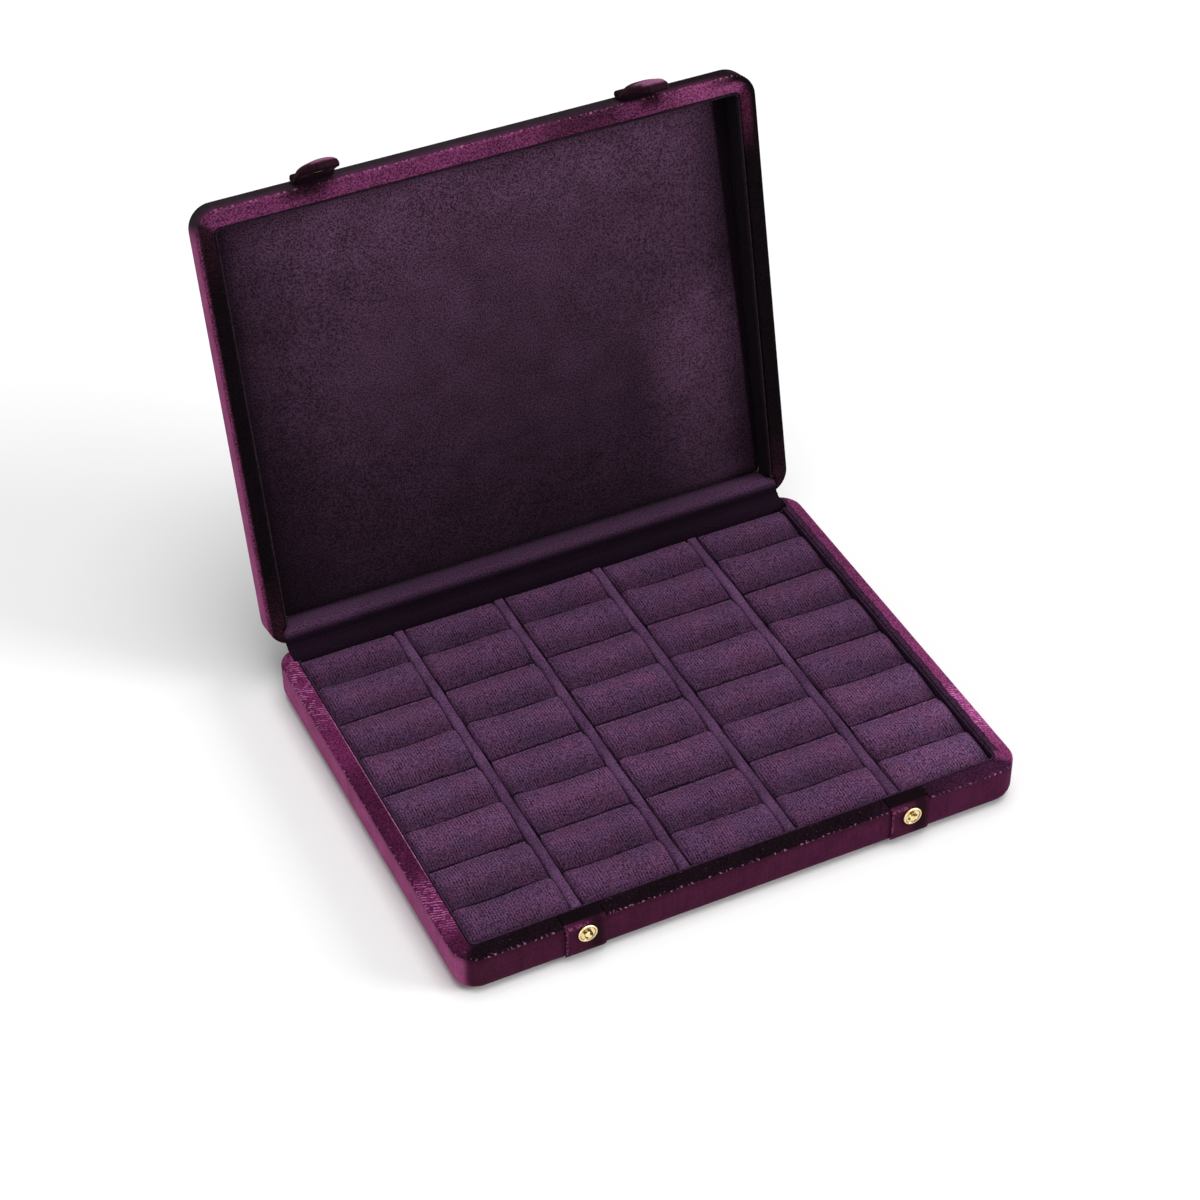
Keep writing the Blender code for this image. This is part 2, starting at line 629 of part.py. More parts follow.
def snap_socket(side, middle, fold):
    """The socket let into the tab's inner face, with the bore that takes the knob."""
    depth = SOCKET_THICKNESS
    profile = [
        (0, depth),
        (SOCKET_RADIUS - BEAD, depth),
        (SOCKET_RADIUS, depth - BEAD),
        (SOCKET_RADIUS, BEAD),
        (SOCKET_RADIUS - BEAD, 0),
        (SOCKET_BORE_RADIUS + BEAD, 0),
        (SOCKET_BORE_RADIUS, BEAD),
        (SOCKET_BORE_RADIUS, depth - SOCKET_FLOOR),
        (0, depth - SOCKET_FLOOR),
    ]
    turned(f"{side}_snap_socket", GOLD_LOOK, profile, middle, FRONT_Y - SOCKET_FACE, fold)


def build_base():
    base_core()
    base_velvet_cover()
    base_bottom_sheet()
    lining = side_lining("base_side_lining", TRAY_FLOOR_Z + FIT, BASE_TOP_Z - FIT)
    clear_gusset(lining, BASE_TOP_Z - SKIN, BASE_TOP_Z + CUT)
    insert_board()
    ring_pads()
    column_dividers()
    base_hinge_cloth()
    for side, middle in SNAP_PLACES.items():
        snap_patch(side, middle)
        snap_stud(side, middle)
        snap_post(side, middle)


def build_lid():
    """The lid is modelled closed, and its hinge's empty turns it open. Each strap hangs from its fold."""
    hinge = new_joint("lid_hinge_axis", (0, HINGE_Y, RIM_Z), -OPEN_ANGLE)
    lid_core(hinge)
    lid_velvet_cover(hinge)
    lining = side_lining("lid_side_lining", LID_BOTTOM_Z + FIT, LID_ROOF_Z - FIT, hinge)
    clear_gusset(lining, LID_BOTTOM_Z - CUT, LID_BOTTOM_Z + SKIN)
    lid_padded_panel(hinge)
    lid_hinge_cloth(hinge)
    for side, middle in SNAP_PLACES.items():
        strap_anchor(side, middle, hinge)
        place = (middle, STRAP_BEND_Y, STRAP_BEND_Z)
        fold = new_joint(f"{side}_strap_fold", place, -STRAP_LIFTS[side], hinge)
        strap_tab(side, middle, fold)
        snap_socket(side, middle, fold)


SNAP_PLACES = {"left": -SNAP_SPACING / 2, "right": SNAP_SPACING / 2}
clear_scene()
CASE = new_collection("ring_case")
CUTTERS = new_collection("cutters")
CUTTERS.hide_render = True
build_base()
build_lid()
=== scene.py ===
import math
import random

import bmesh
import bpy
from mathutils import Matrix, Vector


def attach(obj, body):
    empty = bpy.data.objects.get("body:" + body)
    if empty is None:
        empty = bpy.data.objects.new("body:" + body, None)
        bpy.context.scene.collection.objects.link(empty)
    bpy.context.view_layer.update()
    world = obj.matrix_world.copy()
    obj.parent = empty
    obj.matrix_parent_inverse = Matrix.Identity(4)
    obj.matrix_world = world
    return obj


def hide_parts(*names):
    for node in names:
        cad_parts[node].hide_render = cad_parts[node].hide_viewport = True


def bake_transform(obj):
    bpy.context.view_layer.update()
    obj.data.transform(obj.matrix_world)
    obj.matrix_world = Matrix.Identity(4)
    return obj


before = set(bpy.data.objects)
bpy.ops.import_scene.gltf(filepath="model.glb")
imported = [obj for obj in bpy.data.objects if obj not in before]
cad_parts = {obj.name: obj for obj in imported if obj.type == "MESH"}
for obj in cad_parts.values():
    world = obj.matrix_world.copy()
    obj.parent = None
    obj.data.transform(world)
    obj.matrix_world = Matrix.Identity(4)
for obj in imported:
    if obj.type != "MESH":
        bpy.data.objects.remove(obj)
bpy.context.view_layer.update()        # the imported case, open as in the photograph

openAngle = math.radians(102.9)
hinge = Vector((0, 0.0995, 0.020))
frontWall = -0.0995  # the velvet's face at the front
clearance = 0.0003
rimLevel = {"base": hinge.z - clearance / 2, "lid": hinge.z + clearance / 2}


# ---- working with pieces: nothing here is drawn by itself
def only(piece):
    bpy.ops.object.select_all(action="DESELECT")
    piece.select_set(True)
    bpy.context.view_layer.objects.active = piece


def edit(piece):
    only(piece)
    bpy.ops.object.mode_set(mode="EDIT")


def done():
    bpy.ops.object.mode_set(mode="OBJECT")


def faceOutward(piece):
    edit(piece)
    bpy.ops.mesh.select_all(action="SELECT")
    bpy.ops.mesh.normals_make_consistent(inside=False)
    done()


def pick(kind, test):  # selects in edit mode, by place or normal
    bpy.ops.mesh.select_mode(type={"verts": "VERT", "edges": "EDGE", "faces": "FACE"}[kind])
    bpy.ops.mesh.select_all(action="DESELECT")
    mesh = bmesh.from_edit_mesh(bpy.context.object.data)
    mesh.normal_update()
    for item in getattr(mesh, kind):
        if test(item):
            item.select_set(True)
    bmesh.update_edit_mesh(bpy.context.object.data)


def roundEdges(test, offset, segments):
    pick("edges", test)
    bpy.ops.mesh.bevel(offset=offset, segments=segments, affect="EDGES")


def upright(edge):
    return (edge.verts[0].co.xy - edge.verts[1].co.xy).length < 1e-6


def liesAt(edge, level):
    return all(abs(vert.co.z - level) < 1e-5 for vert in edge.verts)


def settle():  # a new primitive's place goes into its mesh
    bpy.ops.object.transform_apply(location=True, rotation=True, scale=True)


def addPiece(name, primitive, **settings):
    bpy.ops.object.select_all(action="DESELECT")
    primitive(**settings)
    piece = bpy.context.object
    piece.name = name
    return piece


def boxPiece(name, low, high):
    low, high = Vector(low), Vector(high)
    cube = bpy.ops.mesh.primitive_cube_add
    piece = addPiece(name, cube, size=1, location=(low + high) / 2, scale=high - low)
    settle()
    return piece


def applyModifier(piece, name, kind, **settings):
    only(piece)
    modifier = piece.modifiers.new(name, kind)
    for key, value in settings.items():
        setattr(modifier, key, value)
    bpy.ops.object.modifier_apply(modifier=name)


def subdivideSmooth(piece, levels):
    applyModifier(piece, "smooth", "SUBSURF", levels=levels, render_levels=levels)


def thicken(piece, thickness):
    applyModifier(piece, "thickness", "SOLIDIFY", thickness=thickness, offset=-1, use_even_offset=True)


def cutAway(piece, cutter):  # takes the cutter's volume out of the piece
    applyModifier(piece, "cut", "BOOLEAN", operation="DIFFERENCE", object=cutter, solver="MANIFOLD")
    bpy.data.objects.remove(cutter)


def cutBox(piece, low, high):
    cutAway(piece, boxPiece("cutter", low, high))


def cutBore(piece, radius, place, depth):  # a round hole along Y
    alongY = (math.pi / 2, 0, 0)
    cutter = addPiece("cutter", bpy.ops.mesh.primitive_cylinder_add, vertices=32, radius=radius, depth=depth,
                      location=place, rotation=alongY)
    settle()
    cutAway(piece, cutter)


def smoothByAngle(piece, degrees=38):
    only(piece)
    bpy.ops.object.shade_smooth_by_angle(angle=math.radians(degrees))


def evenNormals(piece):  # keeps flat faces flat beside rounded edges
    smoothByAngle(piece)
    applyModifier(piece, "evenNormals", "WEIGHTED_NORMAL", keep_sharp=True)


def turn(piece, matrix):
    piece.data.transform(matrix)
    piece.data.update()


def about(point, angle):  # a turn about X through a point
    place = Matrix.Translation(point)
    return place @ Matrix.Rotation(angle, 4, "X") @ place.inverted()


opened = about(hinge, -openAngle)  # from the closed lid to the lid at rest


def openPoint(y, z):
    return opened @ Vector((0, y, z))


def gridPiece(name, across, along, place):  # a grid whose points are place(column, row)
    columns, rows = len(across) - 1, len(along) - 1
    grid = bpy.ops.mesh.primitive_grid_add
    piece = addPiece(name, grid, x_subdivisions=columns, y_subdivisions=rows, size=2)
    for vert in piece.data.vertices:
        column = across[round((vert.co.x + 1) / 2 * columns)]
        row = along[round((vert.co.y + 1) / 2 * rows)]
        vert.co = place(column, row)
    return piece


def spread(count, low=-1.0, high=1.0):
    return [low + (high - low) * step / count for step in range(count + 1)]


def smooth(value, low, high):
    share = min(1, max(0, (value - low) / (high - low)))
    return share * share * (3 - 2 * share)


def closeDown(piece, levels, tuck):  # skirts a domed grid down to its foot and closes it
    edit(piece)
    pick("edges", lambda edge: edge.is_boundary)
    for level in levels:
        bpy.ops.mesh.extrude_edges_move(TRANSFORM_OT_translate={"value": (0, 0, 0)})
        mesh = bmesh.from_edit_mesh(piece.data)
        foot = [vert for vert in mesh.verts if vert.select]
        for axis in (0, 1):
            places = [vert.co[axis] for vert in foot]
            least, most = min(places) + tuck, max(places) - tuck
            for vert in foot:
                vert.co[axis] = min(max(vert.co[axis], least), most)
        for vert in foot:
            vert.co.z = level(vert) if callable(level) else level
        bmesh.update_edit_mesh(piece.data)
    bpy.ops.mesh.edge_face_add()
    done()
    faceOutward(piece)


def copyPiece(piece, name):
    twin = piece.copy()
    twin.data = piece.data.copy()
    twin.name = name
    bpy.context.scene.collection.objects.link(twin)
    return twin


def dress(piece, material, body=None, replaced=()):
    piece.data.materials.clear()
    piece.data.materials.append(material)
    if body:
        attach(piece, body)
    if replaced:
        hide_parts(*replaced)


# ---- materials
class Wire:  # a socket that sums can be written on
    def __init__(self, paint, socket):
        self.paint, self.socket = paint, socket

    def math(self, operation, first, second):
        return self.paint.node("Math", {"operation": operation}, {0: first, 1: second})

    def __add__(self, other):
        return self.math("ADD", self, other)

    def __radd__(self, other):
        return self.math("ADD", other, self)

    def __sub__(self, other):
        return self.math("SUBTRACT", self, other)

    def __rsub__(self, other):
        return self.math("SUBTRACT", other, self)

    def __mul__(self, other):
        return self.math("MULTIPLY", self, other)

    def __rmul__(self, other):
        return self.math("MULTIPLY", other, self)

    def __truediv__(self, other):
        return self.math("DIVIDE", self, other)

    def __pow__(self, other):
        return self.math("POWER", self, other)

    def __abs__(self):
        return self.math("ABSOLUTE", self, 0)


class Paint:  # one material, its shader and its nodes
    def __init__(self, name, **fixed):
        self.material = bpy.data.materials.new(name)
        self.material.use_nodes = True
        self.tree = self.material.node_tree
        self.shader = self.tree.nodes["Principled BSDF"]
        for key, value in fixed.items():
            self.shader.inputs[key.replace("_", " ")].default_value = value

    def node(self, kind, settings=None, values=None, out=0):
        made = self.tree.nodes.new("ShaderNode" + kind)
        for key, value in (settings or {}).items():
            setattr(made, key, value)
        for key, value in (values or {}).items():
            if isinstance(value, Wire):
                self.tree.links.new(value.socket, made.inputs[key])
            else:
                made.inputs[key].default_value = value
        return Wire(self, made.outputs[out])

    def feed(self, name, wire):
        self.tree.links.new(wire.socket, self.shader.inputs[name])

    def stretch(self, vector, scale, turn=(0, 0, 0), shift=(0, 0, 0)):
        values = {"Vector": vector, "Scale": scale, "Rotation": turn, "Location": shift}
        return self.node("Mapping", {"vector_type": "POINT"}, values)

    def millimetres(self, onLid=False):  # places in mm, and on the lid those of the closed case
        shut = opened.inverted() if onLid else Matrix.Identity(4)
        where = self.node("TexCoord", out="Object")
        return self.stretch(where, (1000, 1000, 1000), shut.to_euler(), shut.to_translation() * 1000)

    def cloth(self, width, length):  # the piece's own map, in mm
        return self.stretch(self.node("UVMap"), (width, length, 1))

    def painted(self, name, out):  # what the mesh carries at each point
        return self.node("Attribute", {"attribute_name": name}, out=out)

    def axes(self, vector):
        parts = self.node("SeparateXYZ", values={"Vector": vector})
        outs = parts.socket.node.outputs
        return Wire(self, outs[0]), Wire(self, outs[1]), Wire(self, outs[2])

    def noise(self, vector, scale, detail, rough):
        values = {"Vector": vector, "Scale": scale, "Detail": detail, "Roughness": rough}
        return self.node("TexNoise", values=values)

    def step(self, value, low, high):  # softly from 0 to 1, or from 1 to 0 if low is above high
        if low > high:
            return 1 - self.step(value, high, low)
        settings = {"interpolation_type": "SMOOTHSTEP", "clamp": True}
        return self.node("MapRange", settings, {0: value, 1: low, 2: high, 3: 0.0, 4: 1.0})

    def most(self, first, second):
        return first.math("MAXIMUM", first, second)

    def least(self, first, second):
        return first.math("MINIMUM", first, second)

    def sine(self, value):
        return value.math("SINE", value, 0)

    def mix(self, share, first, second):
        def colour(value):
            return value if isinstance(value, Wire) else (*value, 1)
        settings = {"data_type": "RGBA", "clamp_factor": True}
        return self.node("Mix", settings, {0: share, 6: colour(first), 7: colour(second)}, out=2)

    def shade(self, colour, amount):  # a colour made darker or lighter by a wire
        return self.node("VectorMath", {"operation": "SCALE"}, {0: colour, "Scale": amount})

    def bump(self, height, distance, strength):
        return self.node("Bump", values={"Height": height, "Distance": distance, "Strength": strength})


# tones of the velvet: the darkest stand mostly for painted shade and the brightest for painted sheen and
# highlights, where the pile turns from or towards the light
velvetTones = {
    "black": (0.0040, 0.0024, 0.0034), "deep": (0.0062, 0.0028, 0.0048), "smoke": (0.0170, 0.0125, 0.0160),
    "brown": (0.0180, 0.0058, 0.0100), "dusk": (0.0340, 0.0085, 0.0260), "plum": (0.0520, 0.0096, 0.0270),
    "grape": (0.0560, 0.0096, 0.0315), "claret": (0.0455, 0.0082, 0.0240), "magenta": (0.0480, 0.0072, 0.0285),
    "wine": (0.1100, 0.0205, 0.0680), "fuchsia": (0.1350, 0.0280, 0.0860), "rose": (0.1500, 0.0330, 0.0860),
    "lit": (0.1000, 0.0140, 0.0580),
    "litSheen": (0.2700, 0.0600, 0.1620), "bright": (0.3000, 0.0560, 0.1850), "arc": (0.6000, 0.2300, 0.4700),
    "roll": (0.2600, 0.0950, 0.1850), "pale": (0.4200, 0.1700, 0.3100),
}
velvetShader = {
    "Roughness": 0.85, "Specular_IOR_Level": 0.02, "Sheen_Weight": 0.035, "Sheen_Roughness": 0.35,
    "Sheen_Tint": (1.0, 0.35, 0.70, 1),
}


# the pile itself: fine tufts, mottling where it was stroked, and a soft bump
def finishVelvet(paint, place, colour, pile=1.0):
    tufts = paint.step(paint.noise(place, 1.25, 1.5, 0.7), 0.34, 0.66)
    stroked = paint.noise(place, 0.11, 2.0, 0.5)
    amount = 1 + 0.4 * pile * (tufts - 0.5) + 0.7 * (stroked - 0.5)
    paint.feed("Base Color", paint.shade(colour, amount))
    paint.feed("Roughness", 0.8 + 0.12 * tufts)
    paint.feed("Normal", paint.bump(tufts + 1.2 * stroked, 0.0001, 0.5))


# tones and the share of each mark are painted on the mesh, with painted sheen, highlights and shade among them;
# the shader draws the pile
def caseVelvet(name, lid):
    paint = Paint(name, **velvetShader)
    place = paint.millimetres(lid)
    x, y, z = paint.axes(place)
    colour = paint.painted("tone", 0)
    dashes, arcs, streaks = paint.axes(paint.painted("marks", 1))
    fine = paint.noise(place, 0.9, 2.0, 0.6)
    streak = paint.noise(paint.stretch(place, (1.6, 1.6, 0.12)), 0.55, 2.0, 0.6)
    colour = paint.shade(colour, 1 + streaks * (streak - 0.5))
    level = paint.step(z, 21.9, 20.9) if lid else paint.step(z, 18.1, 19.1)
    # arcs of painted highlight, where the pile catches the light
    swirl = paint.noise(place, 0.085, 2.0, 0.5)
    waves = paint.sine(1.7 * x + 4.6 * y + 17 * swirl)
    broken = paint.step(paint.noise(place, 0.42, 1.0, 0.5), 0.40, 0.55)
    colour = paint.mix(arcs * paint.step(waves, 0.2, 0.95) * broken, colour, velvetTones["arc"])
    # pale ticks along the welt, painted highlights
    jitter = paint.noise(place, 0.42, 1.0, 0.5)
    ticks = paint.step(paint.sine((x + y) * 2.6 + 11 * jitter), 0.0, 1.0) * paint.step(jitter, 0.40, 0.56)
    welt = paint.step(abs(z - (20.9 if lid else 19.1) + 1.6 * (fine - 0.5)), 0.6, 0.15)
    colour = paint.mix(dashes * welt * ticks, colour, velvetTones["pale"])
    if not lid:  # suede laps over the inner part of the right rim
        uneven = x + 2.0 * (paint.noise(place, 0.16, 2.0, 0.6) - 0.5)
        lap = level * paint.step(uneven, 120.1, 119.7) * paint.step(x, 100, 101) * paint.step(y, -91, -86)
        colour = paint.mix(lap, colour, (0.036, 0.0150, 0.0350))
        seam = level * paint.step(abs(uneven - 119.9), 0.5, 0.1) * paint.step(y, -91, -86)
        colour = paint.mix(seam * 0.7, colour, (0.012, 0.004, 0.010))
    finishVelvet(paint, place, colour, 0.7 + (2.3 if lid else 1.8) * level)
    return paint.material


def blendTone(share, first, second):  # each is a tone's name or its three numbers
    first, second = (velvetTones[tone] if isinstance(tone, str) else tone for tone in (first, second))
    return tuple(a + (b - a) * share for a, b in zip(first, second))


# the tone and the marks at a place of the closed case, in mm: rims and walls are painted lighter or darker
# where the pile catches or turns from the light, as painted sheen and shade, and the marks add painted
# highlight dashes and arcs
def velvetTone(which, x, y, z):
    side, outer = abs(x) - 125, -y - 99.5
    front = smooth(outer - side, -2.6, 2.6)
    right = smooth(x, -2, 2)
    behind = smooth(y, 90, 96)
    if which == "base":
        rim = smooth(z, 18.3, 19.3)
        # painted sheen: the left rim lighter towards its ends and along its back half
        tips = max(smooth(y, 38, 62), smooth(-y, 44, 60))
        left = blendTone(max(tips, smooth(y, 8, 30)), "magenta", "lit")
        # a painted highlight line along the left rim's inner edge
        inner = smooth(-side, 6.8, 7.3) * smooth(58 - abs(y - 2), 0, 14)
        left = blendTone(0.7 * inner, left, "pale")
        # painted shade: the left rim near black at its front end
        left = blendTone(0.6 * smooth(-y, 78, 89), left, "deep")
        # painted sheen: the right rim wine, lighter towards the front, with a bright painted highlight peak
        peak = smooth(-y, 38, 58) * smooth(84 + y, 0, 18)
        rightTone = blendTone(0.10 + 0.20 * smooth(-y, -40, 0) + 0.66 * peak, "wine", "bright")
        sides = blendTone(right, left, rightTone)
        # painted shade: the front rim near black, a little lighter towards the right
        ahead = blendTone(smooth(x, 45, 112), "deep", "dusk")
        rimTone = blendTone(front, sides, ahead)
        # where the painted highlight arcs show: the left rim's ends and the right rim's peak
        arcs = (1 - front) * ((1 - right) * tips * smooth(y, -86, -72) * 0.42 + right * peak * 0.8)
        arcs *= (0.15 + 0.85 * rim) * (1 - behind)
        wall = blendTone(smooth(x, -100, 110), "claret", "grape")
        # painted sheen: the left wall bright pink
        flank = blendTone(right, "litSheen", "wine")
        dashes = (0.5 - 0.28 * right * (1 - front)) * (1 - behind)
        streaks = (1 - rim) * 0.55
        level = smooth(2.2 - z, 0, 2)
    else:
        rim = smooth(21.7 - z, 0, 1)
        # painted shade: the lid's side rims near black, browner towards their ends and plum at the right rim's
        # front end
        ends = smooth(abs(y), 60, 94)
        dark = blendTone(ends, "black", "brown")
        dark = blendTone(right * smooth(-y, 62, 86), dark, "plum")
        # painted sheen: a pink strip along the left rim's outer edge
        edge = smooth(side, -1.6, -0.5) * (1 - right)
        sides = blendTone(edge, dark, "rose")
        shaded = smooth(x, 18, 34) * smooth(66 - x, 0, 8) * 0.62
        for start, end in ((-90, -64), (68, 86)):  # the rim is in a strap's shade
            nearStrap = smooth(x, start, start + 8) * smooth(end - x, 0, 8)
            shaded = max(shaded, nearStrap * smooth(outer, -6.3, -2.0) * 0.95)
        # painted sheen: the front rim bright pink, brighter towards the right
        ahead = blendTone(smooth(x, 78, 100) * 0.45, "fuchsia", "litSheen")
        rimTone = blendTone(front, sides, blendTone(shaded, ahead, "brown"))
        # painted shade: a dark band along the rim near the front right corner
        corner = shellSizes["corner"] * 1000
        outline = max(side, outer)
        if min(side, outer) > -corner:
            outline = math.hypot(side + corner, outer + corner) - corner
        cornerEdge = smooth(outline, -3.4, -2.0) * smooth(x, 100, 117) * smooth(-y, 50, 76)
        rimTone = blendTone(cornerEdge, [0.84 * part for part in rimTone], "black")
        arcs = 0.0
        # painted shade: the lid's front wall near black, blacker towards the right
        wall = blendTone(smooth(x, 55, 100), "smoke", "black")
        # painted sheen: the lid's left wall bright pink, as on the base
        flank = blendTone(right, "litSheen", "wine")
        dashes = 0.5 * front
        streaks = (1 - rim) * 0.5 + rim * front * 0.8
        level = smooth(z, 33.4, 34.8)
    wall = blendTone(front if which == "base" else smooth(outer - side, -13, -5), flank, wall)
    wall = blendTone(behind * (1 - smooth(side, -2, 0)), wall, "plum")
    wall = blendTone(level, wall, "plum")
    return blendTone(rim, wall, rimTone), (dashes, arcs, streaks)


def paintVelvet(piece, which):
    tone = piece.data.color_attributes.new("tone", "FLOAT_COLOR", "POINT")
    marks = piece.data.attributes.new("marks", "FLOAT_VECTOR", "POINT")
    for vert in piece.data.vertices:
        colour, shares = velvetTone(which, *(vert.co * 1000))
        tone.data[vert.index].color = (*colour, 1)
        marks.data[vert.index].vector = shares


def plainVelvet(name, first, second, size):
    paint = Paint(name, **velvetShader)
    place = paint.cloth(*size)
    colour = paint.mix(paint.step(paint.noise(place, 0.25, 2.0, 0.6), 0.35, 0.65), first, second)
    finishVelvet(paint, place, colour)
    return paint.material


suedeShader = {
    "Roughness": 0.95, "Specular_IOR_Level": 0.02, "Sheen_Weight": 0.03, "Sheen_Roughness": 0.5,
    "Sheen_Tint": (0.95, 0.7, 1.0, 1),
}


# short nap: a strong fine grain, slow clouds and, where asked, the knit's ribs
def finishSuede(paint, place, colour, ribs=0.0, across=None, grain=1.0):
    nap = paint.step(paint.noise(place, 1.45, 1.5, 0.7), 0.34, 0.66)
    clouds = paint.noise(place, 0.075, 3.0, 0.55)
    amount = 1 - grain * 0.5 + grain * nap + 0.45 * (clouds - 0.5)
    height = nap * 0.6
    if ribs:
        wave = paint.sine(across * (2 * math.pi / 1.2) + 2.5 * clouds) * 0.5 + 0.5
        worn = paint.step(paint.noise(place, 0.16, 1.0, 0.5), 0.34, 0.6)
        amount = amount + ribs * (wave - 0.5) * worn
        height = height + 0.9 * wave * worn
    paint.feed("Base Color", paint.shade(colour, amount))
    paint.feed("Roughness", 0.86 + 0.12 * nap)
    paint.feed("Normal", paint.bump(height, 0.00016, 0.6))


def suede(name, first, second):
    paint = Paint(name, **suedeShader)
    place = paint.millimetres()
    colour = paint.mix(paint.step(paint.noise(place, 0.05, 2.0, 0.5), 0.35, 0.65), first, second)
    finishSuede(paint, place, colour)
    return paint.material


def padSuede(rollPitch):
    paint = Paint("padSuede", **suedeShader)
    place = paint.millimetres()
    x, y, z = paint.axes(place)
    cloud = paint.step(paint.noise(place, 0.085, 2.0, 0.6), 0.36, 0.64)
    colour = paint.mix(cloud, (0.054, 0.0240, 0.0570), (0.062, 0.0240, 0.0560))
    # painted light and shade: pads lighter towards the front and the front right, darker at the back and the
    # front left
    nearRight = paint.step(x, 55, 105) * paint.step(y, -10, -60)
    nearLeft = paint.step(x, 60, -20) * paint.step(y, -35, -75)
    colour = paint.shade(colour, 1.02 + 0.20 * paint.step(y, 80, -10) + 0.45 * nearRight - 0.12 * nearLeft)
    uneven = y + 2.4 * (paint.noise(place, 0.13, 2.0, 0.6) - 0.5)
    toPad = (0.35 - uneven) / rollPitch
    down = toPad.math("FRACT", toPad, 0)  # 0 at the back of a roll, 1 at its front
    # painted shade: dark lines at the slits and between the pads, and each roll darker down its front slope
    crease = paint.step(down, 0.958, 0.990) + paint.step(down, 0.022, 0.008)
    slope = 1.16 - 0.61 * paint.step(down, 0.38, 0.94)
    colour = paint.shade(colour, slope * (1 - 0.72 * paint.least(crease, 1.0)))
    # painted shade: darker low down, between the pads
    colour = paint.mix(paint.step(z, 16.4, 14.0), colour, (0.010, 0.0035, 0.010))
    finishSuede(paint, place, colour, 0.8, x, 1.25)
    return paint.material


def panelSuede():
    paint = Paint("panelSuede", **suedeShader)
    place = paint.millimetres(True)
    x, y, _ = paint.axes(place)
    rubbed = paint.noise(paint.stretch(place, (0.8, 1, 1), (0, 0, 0.6)), 0.05, 5.0, 0.7)
    colour = paint.mix(paint.step(rubbed, 0.34, 0.66), (0.042, 0.0190, 0.0370), (0.054, 0.0250, 0.0500))
    # painted light and shade: lighter towards the lid's front edge, darker towards the hinge, the left and the
    # far right, and lighter on the right towards the hinge
    toFront = paint.step(y, 112, -92)
    leftShade = paint.step(x, -122, -66)
    rightShade = paint.step(x, 120, 84) + 2.6 * paint.step(y, -25, 25) * paint.step(x, 58, 90)
    upDown = 0.26 + 0.78 * toFront + 0.44 * paint.step(y, -52, -82)
    colour = paint.shade(colour, upDown * (0.45 + 0.55 * leftShade) * (0.55 + 0.45 * rightShade))
    # painted shade: dark bands along the left and hinge edges and beside the right wall
    edge = paint.most(paint.step(x, -107, -116) * 0.6, paint.step(y, 86, 91.5) * 0.6)
    edge = paint.most(edge, paint.step(x - 0.030 * (y + 90), 107.6, 109.6))
    colour = paint.mix(edge, colour, (0.006, 0.003, 0.005))
    finishSuede(paint, place, colour, grain=1.25)
    return paint.material


def collarSuede(name, lid):
    paint = Paint(name, **suedeShader)
    place = paint.millimetres(lid)
    z = paint.axes(place)[2]
    # painted shade: the collar's wall dark and its lip lighter as a painted highlight, most strongly on the lid
    if lid:
        edge, dark, light = paint.step(z, 22.6, 21.0), (0.0050, 0.0036, 0.0050), (0.017, 0.0095, 0.0150)
    else:
        edge, dark, light = paint.step(z, 18.9, 19.4), (0.026, 0.0105, 0.026), (0.034, 0.0150, 0.034)
    finishSuede(paint, place, paint.mix(edge, dark, light))
    return paint.material


def boardMaterial():
    paint = Paint("board", Roughness=0.9, Specular_IOR_Level=0.2)
    place = paint.millimetres()
    fibre = paint.noise(paint.stretch(place, (1, 0.2, 1)), 1.2, 3.0, 0.6)
    paint.feed("Base Color", paint.mix(fibre, (0.24, 0.19, 0.13), (0.38, 0.32, 0.24)))
    paint.feed("Normal", paint.bump(fibre, 0.0001, 0.4))
    return paint.material


def goldMaterial(name, swirled, bright=1.0):
    paint = Paint(name, Metallic=1.0)
    place = paint.millimetres()
    worn = paint.noise(place, 0.7, 3.0, 0.6)
    colour = paint.mix(paint.step(worn, 0.35, 0.7), (0.86, 0.64, 0.28), (0.98, 0.84, 0.52))
    if swirled:  # the middle of a stud and a thin ring round it are painted dark, as painted shade and dark reflections
        x, _, z = paint.axes(place)
        aside, above = abs(x) - snapPlaces["right"] * 1000, z - patchSizes["snapLevel"] * 1000
        away = (aside * aside + above * above) ** 0.5
        folds = paint.noise(place, 0.55, 1.0, 0.4)
        dark = paint.step(away, 2.7, 1.9) * paint.step(folds, 0.54, 0.46)
        dark = paint.most(dark, 0.7 * paint.step(abs(away - 3.2), 0.35, 0.1))
        colour = paint.mix(dark, colour, (0.075, 0.040, 0.012))
    paint.feed("Base Color", paint.shade(colour, bright))
    paint.feed("Roughness", 0.16 + 0.22 * worn)
    paint.feed("Normal", paint.bump(worn, 0.00004, 0.5))
    return paint.material


snapPlaces = {"left": -0.0723, "right": 0.0723}
patchSizes = {"width": 0.0176, "thickness": 0.0009, "footTurn": 40, "foldRadius": 0.0019, "snapLevel": 0.0148,
              "end": -0.0920, "rimCut": 0.0037, "cutAhead": -0.104, "cutBehind": -0.0917, "cutAbove": 0.024,
              "wallBore": 0.0037, "patchBore": 0.0012, "boreDepth": 0.006}


print("materials")
caseVelvets = {"base": caseVelvet("velvetBase", False), "lid": caseVelvet("velvetLid", True)}
suedePads = padSuede(23.6)
suedePanel = panelSuede()
collarSuedes = {"base": collarSuede("collarBase", False), "lid": collarSuede("collarLid", True)}
suedeDivider = suede("dividerSuede", (0.060, 0.0260, 0.063), (0.088, 0.0390, 0.091))
suedeBottom = suede("bottomSuede", (0.022, 0.011, 0.022), (0.036, 0.017, 0.036))
board = boardMaterial()
paleGold = goldMaterial("paleGold", False)
studGold = goldMaterial("studGold", True)
socketGold = goldMaterial("socketGold", False, 0.3)  # painted shade: darker, as it sits out of the light


